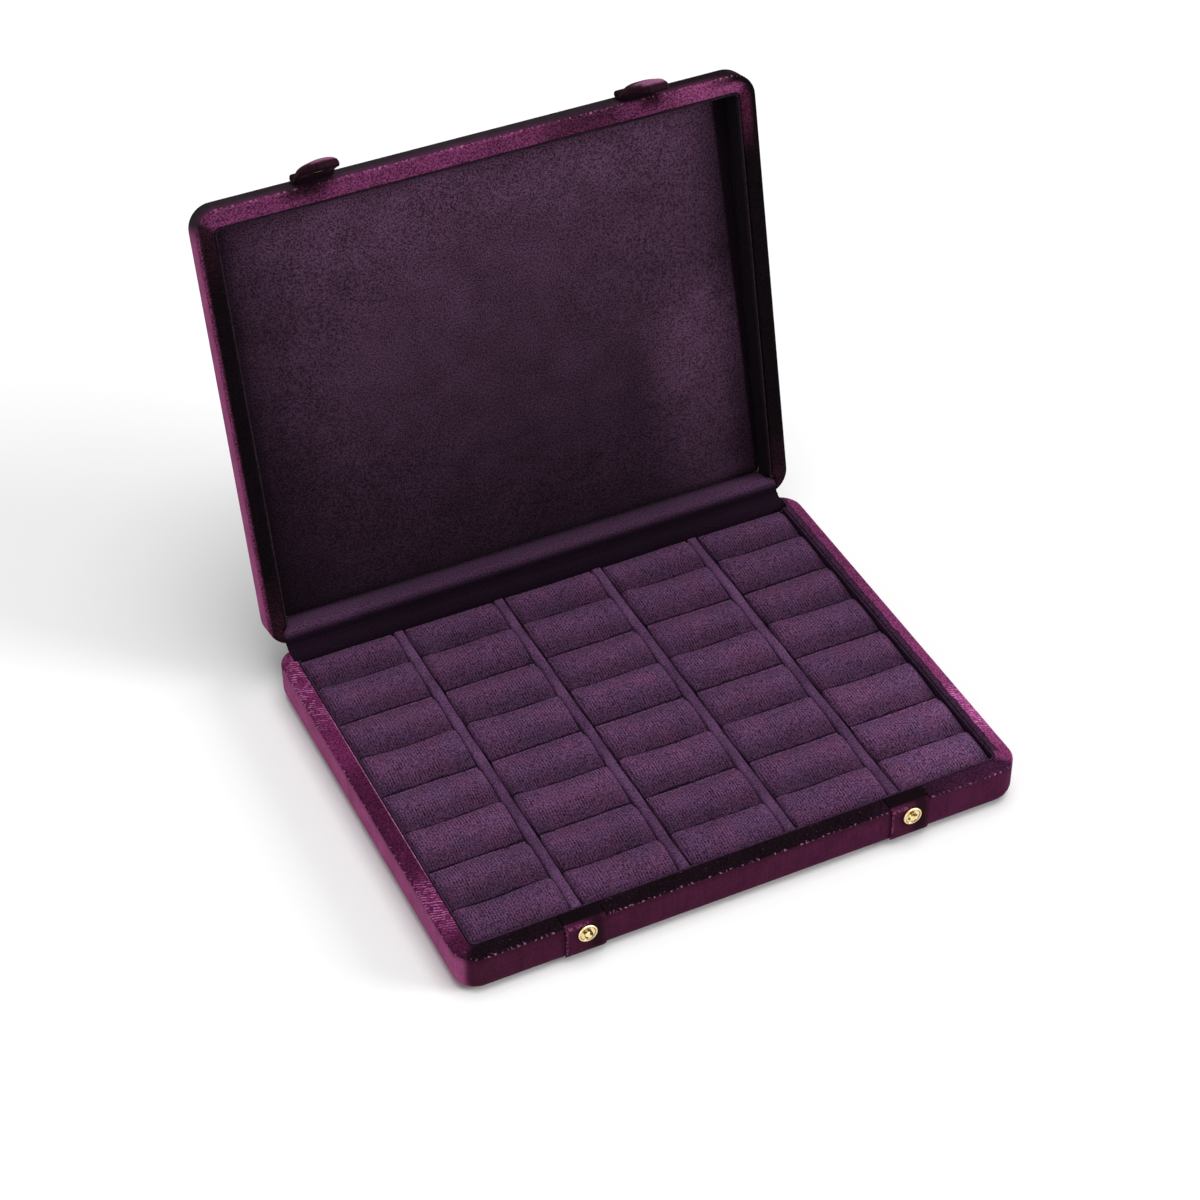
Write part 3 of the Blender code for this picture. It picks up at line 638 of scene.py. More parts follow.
# ---- the two velvet-covered shells
shellSizes = {
    "base": {"low": 0, "high": rimLevel["base"], "edge": 0.0068, "up": 1},
    "lid": {"low": rimLevel["lid"], "high": 0.035, "edge": 0.0052, "up": -1},
    "halfWidth": 0.125, "back": 0.0986, "corner": 0.0105, "cornerSteps": 12, "rimLoops": 4, "rim": 0.0075,
    "backRim": 0.0048, "lip": 0.0034, "weltRound": 0.0011, "innerRound": 0.0007, "velvet": 0.001,
    "turnIn": 0.012, "wallLoops": (0.4, 0.5, 0.6, 0.7, 0.8), "lengthCuts": 44,
}


def velvetShell(which):
    sizes, own = shellSizes, shellSizes[which]
    up = own["up"]
    half = sizes["halfWidth"]
    shell = boxPiece(which + "Velvet", (-half, frontWall, own["low"]), (half, sizes["back"], own["high"]))
    edit(shell)
    roundEdges(upright, sizes["corner"], sizes["cornerSteps"])
    pick("faces", lambda face: face.normal.z * up > 0.9)
    for _ in range(sizes["rimLoops"]):  # loops across the rim, narrower along the back
        bpy.ops.mesh.inset(thickness=sizes["rim"] / sizes["rimLoops"], use_even_offset=True)
        mesh = bmesh.from_edit_mesh(shell.data)
        for vert in mesh.verts:
            if vert.select and vert.co.y > 0:
                vert.co.y += (sizes["rim"] - sizes["backRim"]) / sizes["rimLoops"]
        bmesh.update_edit_mesh(shell.data)
    bpy.ops.mesh.extrude_region_move(TRANSFORM_OT_translate={"value": (0, 0, -up * sizes["lip"])})
    bpy.ops.mesh.delete(type="ONLY_FACE")
    rimAt = own["high"] if up > 0 else own["low"]
    far = own["low"] if up > 0 else own["high"]

    def at(level, outer):
        def test(edge):
            if not liesAt(edge, level):
                return False
            walls = [face for face in edge.link_faces if abs(face.normal.z) < 0.5]
            middle = (edge.verts[0].co + edge.verts[1].co) / 2
            return any((face.normal.xy.dot(middle.xy) > 0) == outer for face in walls)
        return test

    roundEdges(at(rimAt, True), sizes["weltRound"], 4)
    roundEdges(at(rimAt, False), sizes["innerRound"], 3)
    roundEdges(at(far, True), own["edge"], 9)
    if which == "base":  # the velvet turns in under the base and stops there
        pick("faces", lambda face: face.normal.z < -0.9 and face.calc_area() > 0.01)
        bpy.ops.mesh.inset(thickness=sizes["turnIn"] - own["edge"], use_even_offset=True)
        bpy.ops.mesh.delete(type="FACE")
    for share in sizes["wallLoops"]:
        bpy.ops.mesh.select_all(action="SELECT")
        level = own["low"] + share * (own["high"] - own["low"])
        bpy.ops.mesh.bisect(plane_co=(0, 0, level), plane_no=(0, 0, 1))
    pick("edges", lambda edge: edge.calc_length() > 0.05)
    bpy.ops.mesh.subdivide(number_cuts=sizes["lengthCuts"])
    done()
    thicken(shell, sizes["velvet"])
    return shell


gussetSizes = {
    "halfWidth": 0.1186, "flapHalfWidth": 0.1150, "wall": 0.0916, "baseBend": 0.0026, "lidBend": 0.0042,
    "baseFlap": 0.0085, "lidFlap": 0.0117, "thickness": 0.0007, "creaseRadius": 0.00125, "rimEnd": 0.0972,
    "step": 0.00075, "roomDeep": 0.0013, "roomFront": 0.0923, "roomBack": 0.104, "bendRoom": 0.0005,
    "bendRoomFront": 0.0900, "bendRoomBack": 0.0952,
}


def clearForGusset(piece, which):  # room for the inner hinge cloth on the back rim
    sizes = gussetSizes
    reach = sizes["halfWidth"] + clearance
    level, up = rimLevel[which], shellSizes[which]["up"]
    past = level + 3 * up * sizes["roomDeep"]
    rimRoom = (sizes["roomDeep"], sizes["roomFront"], sizes["roomBack"])
    bendRoom = (sizes[which + "Bend"] + sizes["bendRoom"], sizes["bendRoomFront"], sizes["bendRoomBack"])
    for deep, front, back in (rimRoom, bendRoom):
        low, high = sorted((level - up * deep, past))
        cutBox(piece, (-reach, front, low), (reach, back, high))


def clearForPatches(piece):  # room for the velvet tabs and the rivets
    sizes = patchSizes
    reach, low = sizes["width"] / 2 + clearance, rimLevel["base"] - sizes["rimCut"]
    for middle in snapPlaces.values():
        far = (middle + reach, sizes["cutBehind"], sizes["cutAbove"])
        cutBox(piece, (middle - reach, sizes["cutAhead"], low), far)
        cutBore(piece, sizes["wallBore"], (middle, frontWall, sizes["snapLevel"]), sizes["boreDepth"])


def finishShell(piece, which, material, node):  # the lid's pieces are made shut, then opened
    if which == "lid":
        turn(piece, opened)
    evenNormals(piece)
    dress(piece, material, which, [which + node])


print("velvet shells")
for which in ("base", "lid"):
    shell = velvetShell(which)
    clearForGusset(shell, which)
    if which == "base":
        clearForPatches(shell)
    paintVelvet(shell, which)
    finishShell(shell, which, caseVelvets[which], "_velvet_cover")


# ---- boards under the velvet
boardSizes = {"belowRim": 0.0042, "half": 0.1189, "front": -0.0934, "back": 0.0952, "base": (0.0037, 0.024),
              "lid": (0.010, 0.0322)}  # the hollow inside each board


def boardShell(which):
    sizes, own, room = shellSizes, shellSizes[which], boardSizes
    skin = sizes["velvet"] + clearance
    half = sizes["halfWidth"] - skin
    low = own["low"] + (skin if which == "base" else room["belowRim"])
    high = own["high"] - (room["belowRim"] if which == "base" else skin)
    block = boxPiece(which + "Board", (-half, frontWall + skin, low), (half, sizes["back"] - skin, high))
    edit(block)
    roundEdges(upright, sizes["corner"] - skin, sizes["cornerSteps"])
    far = low if which == "base" else high
    roundEdges(lambda edge: liesAt(edge, far), own["edge"] - skin, 6)
    done()
    floor, roof = room[which]
    cutBox(block, (-room["half"], room["front"], floor), (room["half"], room["back"], roof))
    if which == "lid":
        turn(block, opened)
    smoothByAngle(block)
    dress(block, board, which, [which + "_core"])


print("boards")
for which in ("base", "lid"):
    boardShell(which)


# ---- suede collars inside the walls
collarSizes = {"halfWidth": 0.1172, "front": -0.0917, "back": 0.0935, "corner": 0.0027, "thickness": 0.0008,
               "roll": 0.00036, "base": (0.0040, 0.0197), "lid": (0.0203, 0.0319)}


def collar(which):
    sizes = collarSizes
    half, (low, high) = sizes["halfWidth"], sizes[which]
    strip = boxPiece(which + "Collar", (-half, sizes["front"], low), (half, sizes["back"], high))
    edit(strip)
    roundEdges(upright, sizes["corner"], 8)
    pick("faces", lambda face: abs(face.normal.z) > 0.9)
    bpy.ops.mesh.delete(type="ONLY_FACE")
    done()
    thicken(strip, sizes["thickness"])
    level = high if which == "base" else low
    edit(strip)

    def lipEdge(edge):
        return liesAt(edge, level) and any(abs(face.normal.z) < 0.5 for face in edge.link_faces)

    roundEdges(lipEdge, sizes["roll"], 3)
    done()
    clearForGusset(strip, which)
    return strip


print("collars")
for which in ("base", "lid"):
    finishShell(collar(which), which, collarSuedes[which], "_side_lining")


# ---- ring pads: foam rolls in suede, each simulated a little fuller, then copied
padSizes = {
    "pitchX": 0.0473, "pitchY": 0.0472, "width": 0.0419, "top": 0.0194, "foot": 0.0063,
    "back": 0.0913, "front": -0.0906, "middle": 0.00035, "lip": 0.0015, "endLip": 0.0009, "lipDrop": 0.0024,
    "slope": 0.0026, "shoulder": 0.28, "slitShoulder": 0.0013, "endDrop": 0.0017, "slitDepth": 0.0062,
    "slitHalf": 0.00032, "slitBow": 0.0005, "inward": 0.0005, "reach": 0.00055, "bulge": 0.00017,
    "skirt": 0.0009, "waist": 0.0145, "heldBelow": 0.0165, "heldAtSlit": 0.0011, "heldAtLips": 0.0018,
    "pressure": 6.0, "frames": 14, "quality": 9, "stiffness": 12, "most": 0.0008, "simulationScale": 12,
}
padColumns = [0.09, 0.28, 0.46, 0.62, 0.74, 0.83, 0.9, 0.95, 0.985, 1]
padColumns = [-u for u in reversed(padColumns)] + padColumns
rollLines = [0, 0.015, 0.045, 0.09, 0.16, 0.26, 0.38, 0.52, 0.66, 0.78, 0.87, 0.93, 0.97, 1]


def fuller(piece, held, sizes):  # a short cloth simulation under pressure, capped
    rest = [vert.co.copy() for vert in piece.data.vertices]
    only(piece)
    scale = sizes["simulationScale"]
    turn(piece, Matrix.Scale(scale, 4))
    group = piece.vertex_groups.new(name="held")
    group.add([vert.index for vert in piece.data.vertices if held(rest[vert.index])], 1, "REPLACE")
    cloth = piece.modifiers.new("cloth", "CLOTH")
    cloth.settings.vertex_group_mass = "held"
    cloth.settings.use_pressure = True
    cloth.settings.uniform_pressure_force = sizes["pressure"]
    cloth.settings.effector_weights.gravity = 0
    cloth.settings.quality = sizes["quality"]
    cloth.settings.tension_stiffness = sizes["stiffness"]
    cloth.settings.compression_stiffness = sizes["stiffness"]
    for number in range(1, sizes["frames"] + 1):
        bpy.context.scene.frame_set(number)
    bpy.ops.object.modifier_apply(modifier="cloth")
    bpy.context.scene.frame_set(1)
    moved = 0
    for vert, before in zip(piece.data.vertices, rest):
        step = vert.co / scale - before
        moved = max(moved, step.length)
        if step.length > sizes["most"]:
            step *= sizes["most"] / step.length
        vert.co = before + step
    piece.vertex_groups.clear()
    piece.data.update()
    print("  pressed out by up to", round(moved * 1000, 2), "mm")


def padMaster(name, back, slit, front):
    sizes = padSizes
    half = sizes["width"] / 2
    backLip, frontLip = (sizes["endLip" if abs(end - sizes[key]) < 1e-4 else "lip"]
                         for end, key in ((back, "back"), (front, "front")))
    rows = [("backLip", 0), ("backLip", 0.6)] + [("back", t) for t in rollLines] + [("slit", 0)]
    rows += [("front", t) for t in rollLines] + [("frontLip", 0.6), ("frontLip", 0)]

    def place(u, row):
        kind, t = row
        line = slit - sizes["slitBow"] * (1 - u * u)
        parted = 0.30 + 0.70 * smooth(u, -0.98, -0.62)  # the slit closes towards the left end
        lift = 1
        if kind == "backLip":
            y, drop, lift = back - backLip * t, sizes["lipDrop"], 0
        elif kind == "frontLip":
            y, drop, lift = front + frontLip * t, sizes["lipDrop"], 0
        elif kind == "slit":
            y, drop = line, sizes["slope"] * parted + sizes["slitDepth"] * smooth(u, -0.93, -0.6)
        else:
            if kind == "back":
                start, end = back - backLip, line + sizes["slitHalf"]
                shoulder, slope = sizes["lipDrop"], sizes["slope"] * parted
            else:
                start, end = line - sizes["slitHalf"], front + frontLip
                shoulder, slope = sizes["slitShoulder"] * parted, sizes["lipDrop"]
            y = start + (end - start) * t
            crest = sizes["shoulder"]
            drop = shoulder * max(0, 1 - t / crest) ** 3 + slope * max(0, (t - crest) / (1 - crest)) ** 2.3
            lift = 1 - drop / sizes["lipDrop"] * 0.8
        drop += sizes["endDrop"] * abs(u) ** 14 * max(0, lift)
        x = u * half - math.copysign(sizes["inward"] * smooth(abs(u), 0.85, 1) * (1 - max(0, lift)), u)
        return Vector((x, y, sizes["top"] - drop))

    def held(co):
        atLips = min(back - co.y, co.y - front) < sizes["heldAtLips"]
        return co.z < sizes["heldBelow"] or abs(co.y - slit) < sizes["heldAtSlit"] or atLips

    pad = gridPiece(name, padColumns, rows, place)
    foot = sizes["foot"]
    closeDown(pad, [lambda vert: vert.co.z - sizes["skirt"], (foot + sizes["waist"]) / 2, foot], 0.0001)
    fuller(pad, held, sizes)
    subdivideSmooth(pad, 1)
    only(pad)
    bpy.ops.object.shade_smooth()
    return pad


def bulge(piece, seed, amount):  # no two pads are stuffed alike
    draw = random.Random(seed)
    waves = [(draw.uniform(60, 190), draw.uniform(60, 190), draw.uniform(0, 6.28), draw.uniform(0.4, 1))
             for _ in range(3)]
    for vert in piece.data.vertices:
        lift = sum(size * math.sin(kx * vert.co.x + ky * vert.co.y + phase) for kx, ky, phase, size in waves)
        vert.co.z += amount * lift * smooth(vert.co.z, 0.0150, 0.0185)
    piece.data.update()


print("ring pads")
for row in range(4):
    sizes = padSizes
    back = sizes["middle"] + (2 - row) * sizes["pitchY"] - clearance / 2
    front = back - sizes["pitchY"] + clearance
    slit = (back + front) / 2
    back, front = min(back, sizes["back"]), max(front, sizes["front"])
    master = padMaster("padMaster", back, slit, front)
    for column in range(5):
        number = f"row{row + 1}_column{column + 1}"
        pad = copyPiece(master, "ringPad_" + number)
        for vert in pad.data.vertices if column in (0, 4) else ():  # the outer columns reach the lining
            outward = vert.co.x * (column - 2) / 2
            vert.co.x += (column - 2) / 2 * sizes["reach"] * smooth(outward, 0, 0.02)
        turn(pad, Matrix.Translation(((column - 2) * sizes["pitchX"], 0, 0)))
        bulge(pad, 10 * row + column, padSizes["bulge"])
        dress(pad, suedePads, "base", ["ring_pad_" + number])
    bpy.data.objects.remove(master)


# ---- strips between the columns
dividerSizes = {"width": 0.0048, "high": 0.0173, "low": 0.0063, "front": -0.0906, "back": 0.0913,
                "round": 0.0013, "cuts": 60, "stillBelow": 0.012, "looseAbove": 0.0165}


def divider(index):
    sizes = dividerSizes
    half = sizes["width"] / 2
    low, high = (-half, sizes["front"], sizes["low"]), (half, sizes["back"], sizes["high"])
    strip = boxPiece(f"divider_{index + 1}", low, high)
    edit(strip)
    pick("edges", lambda edge: abs(edge.verts[0].co.y - edge.verts[1].co.y) > 0.1)
    bpy.ops.mesh.subdivide(number_cuts=sizes["cuts"])

    def topEdge(edge):
        first, second = edge.verts[0].co.x, edge.verts[1].co.x
        return liesAt(edge, sizes["high"]) and abs(abs(first) - half) < 1e-6 and abs(first - second) < 1e-6

    roundEdges(topEdge, sizes["round"], 4)
    done()
    draw = random.Random(40 + index)
    phases = [draw.uniform(0, 6.28) for _ in range(3)]
    for vert in strip.data.vertices:
        loose = smooth(vert.co.z, sizes["stillBelow"], sizes["looseAbove"])
        wave = 0.00009 * math.sin(vert.co.y * 130 + phases[0]) + 0.00007 * math.sin(vert.co.y * 310 + phases[1])
        vert.co.x += wave * loose
        vert.co.z += 0.00012 * math.sin(vert.co.y * 133 + phases[2]) * loose
    turn(strip, Matrix.Translation(((index - 1.5) * padSizes["pitchX"], 0, 0)))
    smoothByAngle(strip, 40)
    dress(strip, suedeDivider, "base", [f"column_divider_{index + 1}"])


print("dividers")
for index in range(4):
    divider(index)


# ---- the lid's padded panel
panelSizes = {"half": 0.1161, "back": 0.0913, "front": -0.0906, "face": 0.0302, "foot": 0.0319, "crown": 0.0006,
              "edgeDrop": 0.0012, "corner": 0.0016}


def lidPanel():
    sizes = panelSizes
    edge = [0.94, 0.965, 0.98, 0.99, 0.997, 1]
    lines = [-share for share in reversed(edge)] + spread(26, -0.9, 0.9) + edge
    middle = (sizes["back"] + sizes["front"]) / 2
    deep = (sizes["back"] - sizes["front"]) / 2
    draw = random.Random(7)
    waves = [(draw.uniform(18, 70), draw.uniform(18, 70), draw.uniform(0, 6.28)) for _ in range(5)]

    def place(u, v):
        soft = (1 - abs(u) ** 70) * (1 - abs(v) ** 60)
        crown = (1 - u * u) * (1 - v * v)
        x, y = u * sizes["half"], middle + v * deep
        rumple = sum(math.sin(kx * x + ky * y + phase) for kx, ky, phase in waves) * 0.00005 * soft
        ease = sizes["corner"] * 0.3 * abs(u * v) ** 60
        z = sizes["face"] + sizes["edgeDrop"] * (1 - soft) - sizes["crown"] * crown + rumple
        return Vector((x - math.copysign(ease, u), y - math.copysign(ease, v), z))

    panel = gridPiece("lidPanel", lines, lines, place)
    closeDown(panel, [sizes["foot"]], 0.0)
    turn(panel, opened)
    smoothByAngle(panel, 50)
    dress(panel, suedePanel, "lid", ["lid_padded_panel"])


print("lid panel")
lidPanel()


# ---- cloth that crosses the hinge
def arcPoints(middle, radius, start, end, steps):
    turns = [math.radians(start + (end - start) * step / steps) for step in range(steps + 1)]
    return [(middle[0] + radius * math.cos(angle), middle[1] + radius * math.sin(angle)) for angle in turns]


def openPair(point):
    there = openPoint(*point)
    return there.y, there.z


def evenly(points, gap):  # walks a line of points with even steps
    walked = [0]
    for first, second in zip(points, points[1:]):
        walked.append(walked[-1] + math.dist(first, second))
    count = max(8, round(walked[-1] / gap))
    made = []
    for step in range(count + 1):
        goal = walked[-1] * step / count
        index = max(i for i in range(len(points) - 1) if walked[i] <= goal + 1e-12)
        share = (goal - walked[index]) / (walked[index + 1] - walked[index])
        made.append(tuple(a + (b - a) * share for a, b in zip(points[index], points[index + 1])))
    return made, walked[-1]


def hingeGusset():
    sizes = gussetSizes
    wall, low, high = sizes["wall"], rimLevel["base"], rimLevel["lid"]
    bend = sizes["baseBend"]
    line = [(wall, low - sizes["baseFlap"])]
    line += arcPoints((wall + bend, low - bend), bend, 180, 90, 8)
    line += [(sizes["rimEnd"], low)]
    turned = [openPair((sizes["rimEnd"], high))]
    first = math.degrees(math.atan2(low - hinge.z, line[-1][0] - hinge.y)) % 360
    last = math.degrees(math.atan2(turned[0][1] - hinge.z, turned[0][0] - hinge.y))
    line += arcPoints((hinge.y, hinge.z), sizes["creaseRadius"], first - 6, last + 6, 8)
    bend = sizes["lidBend"]
    line += turned + [openPair(point) for point in arcPoints((wall + bend, high + bend), bend, 270, 180, 10)]
    line += [openPair((wall, high + sizes["lidFlap"]))]
    points, length = evenly(line, sizes["step"])
    rows = range(len(points))
    walkedTo = [length * row / (len(points) - 1) for row in rows]
    rimFrom, rimTo = sizes["baseFlap"] - 0.0005, length - sizes["lidFlap"] + 0.0006
    columns = spread(96)
    draw = random.Random(3)
    waves = [(draw.uniform(24, 90), draw.uniform(0, 6.28)) for _ in range(5)]

    def place(u, row):
        y, z = points[row]
        walked = walkedTo[row]
        wide = smooth(walked, rimFrom - 0.003, rimFrom) * smooth(walked, rimTo + 0.004, rimTo)
        half = sizes["flapHalfWidth"] + (sizes["halfWidth"] - sizes["flapHalfWidth"]) * wide
        x = u * half
        onLid = smooth(walked, length * 0.5, length * 0.62) * smooth(walked, length, length * 0.85)
        puff = sum(math.sin(k * x + phase) for k, phase in waves) * 0.00007 * onLid
        y, z = y - puff * 0.6, z + puff * 0.8
        return Vector((x, y, z))

    gusset = gridPiece("hingeGusset", columns, list(rows), place)
    thicken(gusset, sizes["thickness"])
    faceOutward(gusset)
    smoothByAngle(gusset, 60)
    width = 2 * sizes["halfWidth"]
    paint = Paint("gussetSuede", **suedeShader)
    cloth = paint.cloth(width * 1000, length * 1000)
    x, y, _ = paint.axes(cloth)
    along = length * 1000
    fold = along * 0.5
    # painted light and shade: the cloth lit on the lid's side of the fold and dark on the base's
    light = paint.step(y, fold + 1.5, fold + 6.0) * paint.step(y, along + 2, along - 6)
    colour = paint.mix(light, (0.0056, 0.0022, 0.0056), (0.038, 0.0168, 0.0375))
    # painted light: lighter towards both ends
    colour = paint.shade(colour, 1 + 0.35 * paint.step(abs(x - width * 500), 60, 105))
    # painted shade in the crease
    colour = paint.mix(paint.step(abs(y - fold), 1.8, 0.2) * 0.6, colour, (0.003, 0.0015, 0.003))
    finishSuede(paint, cloth, colour)
    dress(gusset, paint.material, None, ["base_hinge_gusset", "lid_hinge_gusset"])
    end = openPoint(0.0985, high)
    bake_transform(gusset)
    print("  gusset", round(width * 1000, 1), "x", round(length * 1000, 1), "mm")


spineSizes = {"half": 0.1150, "lap": 0.0108, "thickness": 0.0005}


def spineCloth():
    sizes = spineSizes
    lap = sizes["lap"]
    line = [(hinge.y, hinge.z - lap), (hinge.y, hinge.z - 0.0006), (hinge.y, hinge.z)]
    line += [openPair((hinge.y, hinge.z + 0.0006)), openPair((hinge.y, hinge.z + lap))]
    points, length = evenly(line, 0.0009)

    def place(u, row):
        return Vector((-u * sizes["half"], *points[row]))

    cloth = gridPiece("spineCloth", spread(40), list(range(len(points))), place)
    thicken(cloth, sizes["thickness"])
    faceOutward(cloth)
    smoothByAngle(cloth, 60)
    width = 2 * sizes["half"]
    flat = (width * 1000, length * 1000)
    material = plainVelvet("velvetSpine", (0.0460, 0.0086, 0.0240), (0.0560, 0.0104, 0.0295), flat)
    dress(cloth, material, None, ["base_spine_cloth", "lid_spine_cloth"])
    end = openPoint(hinge.y, hinge.z + 0.0005)
    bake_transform(cloth)
    print("  spine", round(width * 1000, 1), "x", round(length * 1000, 1), "mm")


print("hinge cloths")
hingeGusset()
spineCloth()


# ---- snap patches, studs, straps
def snapPatch(side, middle):
    sizes = patchSizes
    face = frontWall - clearance - sizes["thickness"]
    fold, top = sizes["foldRadius"], rimLevel["base"]
    edge = shellSizes["base"]["edge"]
    line = arcPoints((face + edge, edge), edge, 180 + sizes["footTurn"], 180, 8)
    line += arcPoints((face + fold, top - fold), fold, 180, 90, 8)
    line += [(sizes["end"], top)]
    points, length = evenly(line, 0.0009)
    half = sizes["width"] / 2

    def place(u, row):
        y, z = points[row]
        return Vector((middle + u * half, y, z))

    patch = gridPiece(side + "Patch", spread(14), list(range(len(points))), place)
    thicken(patch, sizes["thickness"])
    subdivideSmooth(patch, 1)
    cutBore(patch, sizes["patchBore"], (middle, -0.1000, sizes["snapLevel"]), sizes["boreDepth"])
    smoothByAngle(patch, 50)
    paint = Paint(side + "PatchVelvet", **velvetShader)
    where = paint.millimetres()
    x, y, z = paint.axes(where)
    across = x - middle * 1000
    # painted shade: the patch darker right of the stud, easing near its right edge
    colour = paint.mix(paint.step(across, -2.0, 4.5), (0.0470, 0.0084, 0.0250), (0.0150, 0.0038, 0.0080))
    colour = paint.mix(paint.step(across, 5.5, 8.2) * 0.8, colour, (0.0370, 0.0070, 0.0198))
    # a speckled painted highlight along the left edge and the left of the top
    top = paint.step(abs(z - 18.8), 0.9, 0.3) * paint.step(across, 2.5, -1.0)
    rolled = paint.most(paint.step(across, -7.6, -8.5), top)
    specks = paint.step(paint.noise(where, 0.9, 1.0, 0.5), 0.42, 0.56)
    colour = paint.mix(rolled * specks * 0.75, colour, (0.190, 0.050, 0.120))
    # painted shade: near black where the patch lies on the rim
    onRim = paint.step(y, -99.0, -97.8)
    colour = paint.mix(onRim, colour, (0.0050, 0.0023, 0.0040))
    finishVelvet(paint, where, colour, 1.2)
    dress(patch, paint.material, "base", [side + "_snap_patch"])


# spins a profile of radii and heights, which stands on the seat and faces the front
def turnedPiece(name, profile, middle, seat, level):
    piece = addPiece(name, bpy.ops.mesh.primitive_plane_add, size=0.001)
    edit(piece)
    mesh = bmesh.from_edit_mesh(piece.data)
    bmesh.ops.delete(mesh, geom=list(mesh.verts), context="VERTS")
    verts = [mesh.verts.new((middle + radius, seat - height, level)) for radius, height in profile]
    for pair in zip(verts, verts[1:]):
        mesh.edges.new(pair)
    bmesh.update_edit_mesh(piece.data)
    bpy.ops.mesh.select_all(action="SELECT")
    bpy.ops.mesh.spin(steps=48, angle=2 * math.pi, center=(middle, seat, level), axis=(0, 1, 0))
    bpy.ops.mesh.select_all(action="SELECT")
    bpy.ops.mesh.remove_doubles(threshold=0.00001)
    done()
    faceOutward(piece)
    return piece


studProfile = [
    (0, 2.30), (0.9, 2.28), (1.45, 2.10), (1.75, 1.80), (1.78, 1.50), (1.52, 1.20), (1.42, 0.95), (1.60, 0.66),
    (2.2, 0.52), (2.8, 0.50), (3.1, 0.60), (3.28, 0.82), (3.46, 0.98), (3.66, 1.02), (3.9, 0.94), (4.06, 0.72),
    (4.12, 0.45), (4.05, 0.18), (3.9, 0.02), (1.25, 0.0), (1.25, 1.60), (0, 1.60),
]  # radius and height of a press stud, in mm


def snapStud(side, middle):
    seat = frontWall - clearance - patchSizes["thickness"] - clearance
    profile = [(radius / 1000, height / 1000) for radius, height in studProfile]
    stud = turnedPiece(side + "Stud", profile, middle, seat, patchSizes["snapLevel"])
    smoothByAngle(stud, 40)
    dress(stud, studGold, "base", [side + "_snap_stud"])


strapSizes = {"width": 0.0172, "anchorHigh": 0.0312, "bendHigh": 0.024, "bendOut": -0.1025, "root": 0.0024,
              "length": 0.0206, "tipRound": 0.0050, "taper": 0.013, "tipWidth": 0.70, "swell": 0.0045,
              "dome": 0.0027, "lean": 0.0010, "lip": 0.0007, "lipFrom": 0.0055, "lipTo": 0.0025,
              "standOff": 0.0017,
              "socketRoom": 0.0046, "socketDeep": 0.0040, "socketShift": 0.0004, "cornerFrom": 0.004,
              "cornerLong": 0.0032, "cornerIn": 0.12, "clothLong": 29.0}
strapLifts = {"left": math.radians(26.5), "right": math.radians(16.7)}


# painted flat: painted shade at the root and on the inner face, and a painted highlight rolling round the outer
# edge of the tip
def strapTones(piece, face, tip, bendAt):
    tone = piece.data.color_attributes.new("tone", "FLOAT_COLOR", "POINT")
    for vert in piece.data.vertices:
        thick = strapSizes["root"] * 0.75 + strapSizes["dome"]
        high = (face(vert.co.z) - vert.co.y) / thick
        nearTip = smooth(tip + 0.0125 - vert.co.z, 0, 0.005)
        colour = blendTone(smooth(bendAt + 0.002 - vert.co.z, 0, 0.006), "black", "brown")
        colour = blendTone(smooth(high, 0.66, 0.97) * nearTip, colour, "roll")
        colour = blendTone(smooth(high, 0.25, 0.02), colour, "deep")
        tone.data[vert.index].color = (*colour, 1)


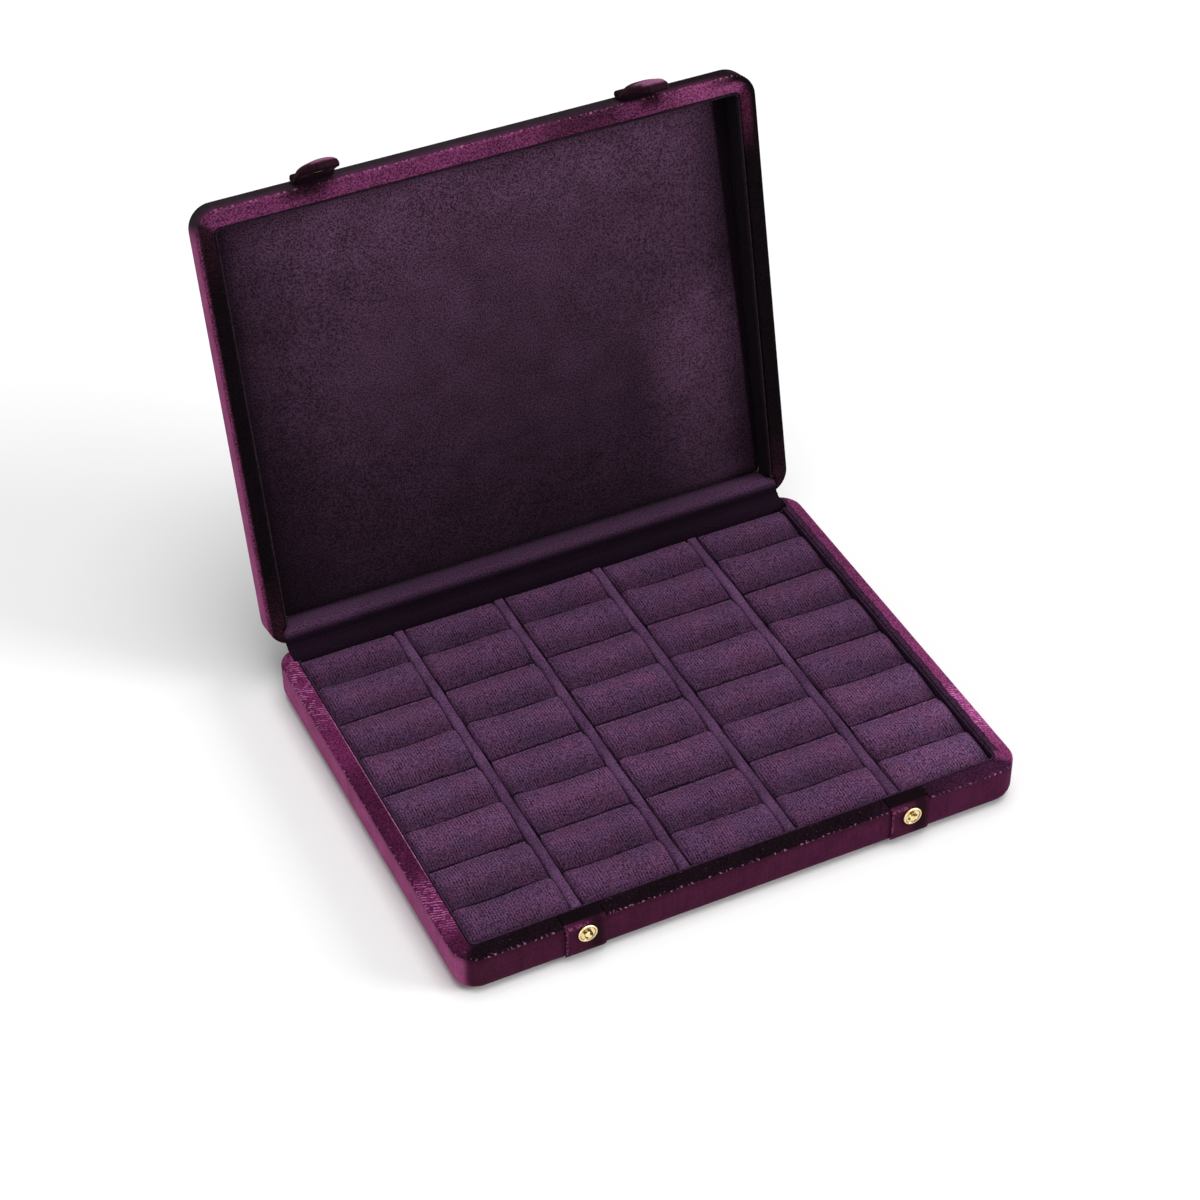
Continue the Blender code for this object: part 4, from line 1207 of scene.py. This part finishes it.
# one plump velvet tab: glued to the lid's front wall, bent at its root, with a round tip
def strap(side, middle):
    sizes = strapSizes
    half = sizes["width"] / 2
    wallFace = frontWall - clearance
    bendAt = sizes["bendHigh"]
    tip = bendAt - sizes["length"]
    levels = spread(10, sizes["anchorHigh"], bendAt) + spread(30, bendAt, tip)[1:]

    def face(z):  # the strap's inner face, in front of the wall
        swell = smooth(bendAt - z, 0, sizes["swell"])
        lip = sizes["lip"] * smooth(z - tip, sizes["lipFrom"], sizes["lipTo"])
        free = clearance * smooth(bendAt - z, -0.001, 0.001)
        return wallFace - free - sizes["standOff"] * swell + lip

    def lean(z):
        return sizes["lean"] * smooth(z - tip, sizes["taper"], 0)

    def taper(z):
        return sizes["tipWidth"] + (1 - sizes["tipWidth"]) * smooth(z - tip, 0.001, sizes["taper"])

    def place(u, row):
        z = levels[row]
        intoTip = max(0, 1 - (z - tip) / sizes["tipRound"])
        wide = taper(z) * (1 - 0.5 * (1 - math.sqrt(max(0, 1 - intoTip ** 2))))
        intoRoot = z - bendAt - sizes["cornerFrom"]
        if intoRoot > 0:
            wide *= 1 - sizes["cornerIn"] * (intoRoot / sizes["cornerLong"]) ** 2
        return Vector((middle + lean(z) + u * wide * half, face(z), z))

    piece = gridPiece(side + "Strap", spread(12), list(range(len(levels))), place)
    thicken(piece, sizes["root"])
    for vert in piece.data.vertices:  # thicker and domed along the tab
        inner = face(vert.co.z)
        if vert.co.y < inner - 0.001 or vert.co.y > inner + 0.001:
            along = smooth(bendAt - vert.co.z, -0.004, 0.006)
            across = min(1, abs(vert.co.x - middle - lean(vert.co.z)) / (half * taper(vert.co.z)))
            dome = sizes["dome"] * along * math.sqrt(max(0, 1 - across ** 2.6))
            dome *= smooth(vert.co.z - tip, -0.0012, 0.0028)
            vert.co.y = inner - sizes["root"] * (1 - 0.25 * along) - dome
    faceOutward(piece)
    subdivideSmooth(piece, 1)
    level = patchSizes["snapLevel"]
    socketAt = (middle, face(level) + sizes["socketShift"], level)
    cutBore(piece, sizes["socketRoom"], socketAt, sizes["socketDeep"])
    strapTones(piece, face, tip, bendAt)
    foldAt = Vector((middle, sizes["bendOut"], bendAt))
    lift = strapLifts[side]
    for vert in piece.data.vertices:
        share = smooth(bendAt - vert.co.z, -0.0012, 0.0022)
        vert.co = about(foldAt, -lift * share) @ vert.co
    turn(piece, opened)
    smoothByAngle(piece, 50)
    paint = Paint(side + "StrapVelvet", **velvetShader)
    flat = paint.cloth(sizes["width"] * 1000, sizes["clothLong"])
    finishVelvet(paint, flat, paint.painted("tone", 0), 1.6)
    dress(piece, paint.material, None, [side + "_strap_anchor", side + "_strap_tab"])
    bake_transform(piece)


print("snaps and straps")
for side, middle in snapPlaces.items():
    snapPatch(side, middle)
    snapStud(side, middle)
    strap(side, middle)


# ---- finishes of the pieces that stay as they are in the frame
kept = {
    "insert_board": board, "base_bottom_sheet": suedeBottom,
    "left_snap_post": paleGold, "right_snap_post": paleGold,
    "left_snap_socket": socketGold, "right_snap_socket": socketGold,
}
for name, material in kept.items():
    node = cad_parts[name]
    node.data.materials.clear()
    node.data.materials.append(material)


# ---- floor, light and camera
print("stage")
studio = {"floor": 6.0, "fill": 0.33, "floorTone": 0.86}


def stageFloor():
    below = (0, 0, -0.00005)  # just under the case
    floor = addPiece("floor", bpy.ops.mesh.primitive_plane_add, size=studio["floor"], location=below)
    settle()
    tone = studio["floorTone"]
    paper = Paint("floorPaper", Roughness=0.9, Specular_IOR_Level=0.0, Base_Color=(tone, tone, tone, 1))
    dress(floor, paper.material)


def stageWorld():
    world = bpy.data.worlds.new("studio")
    bpy.context.scene.world = world
    world.use_nodes = True
    nodes, links = world.node_tree.nodes, world.node_tree.links
    background = nodes["Background"]
    background.inputs["Color"].default_value = (1, 1, 1, 1)
    path = nodes.new("ShaderNodeLightPath")
    strength = nodes.new("ShaderNodeMapRange")
    seen = nodes.new("ShaderNodeMath")  # metal shows the white background too
    seen.operation = "MAXIMUM"
    links.new(path.outputs["Is Camera Ray"], seen.inputs[0])
    links.new(path.outputs["Is Glossy Ray"], seen.inputs[1])
    links.new(seen.outputs[0], strength.inputs[0])
    strength.inputs[3].default_value = studio["fill"]
    strength.inputs[4].default_value = 1.0
    links.new(strength.outputs[0], background.inputs["Strength"])


def lamp(name, kind, place, aim, energy, **settings):
    light = bpy.data.lights.new(name, kind)
    light.energy = energy
    for key, value in settings.items():
        setattr(light, key, value)
    holder = bpy.data.objects.new(name, light)
    holder.location = place
    holder.rotation_euler = (Vector(aim) - Vector(place)).to_track_quat("-Z", "Y").to_euler()
    bpy.context.scene.collection.objects.link(holder)


def towards(around, up):  # a unit place at these degrees
    around, up = math.radians(around), math.radians(up)
    return math.cos(up) * math.cos(around), math.cos(up) * math.sin(around), math.sin(up)


stageFloor()
stageWorld()
lamp("key", "SUN", towards(-50, 83), (0, 0, 0), 2.1, angle=math.radians(44))
lamp("side", "SUN", towards(-33, 24), (0, 0, 0), 1.75, angle=math.radians(24))
lamp("low", "AREA", (-1.1, -0.40, 0.25), (0, 0, 0.05), 1.5, shape="RECTANGLE", size=0.7, size_y=0.35)

view = {"place": (-0.3931, -0.7958, 0.8425), "aim": (0.01476, 0.06856, 0.020), "lens": 87.06, "roll": -0.67}
lens = bpy.data.cameras.new("camera")
lens.lens, lens.sensor_width, lens.sensor_fit = view["lens"], 36, "HORIZONTAL"
lens.clip_start, lens.clip_end = 0.01, 20
camera = bpy.data.objects.new("camera", lens)
back = (Vector(view["place"]) - Vector(view["aim"])).normalized()
camera.location = view["place"]
level = (-back).to_track_quat("-Z", "Y")
camera.rotation_mode = "QUATERNION"
camera.rotation_quaternion = level @ Matrix.Rotation(math.radians(view["roll"]), 4, "Z").to_quaternion()
bpy.context.scene.collection.objects.link(camera)
bpy.context.scene.camera = camera
bpy.context.scene.view_settings.view_transform = "Standard"

print("finished")
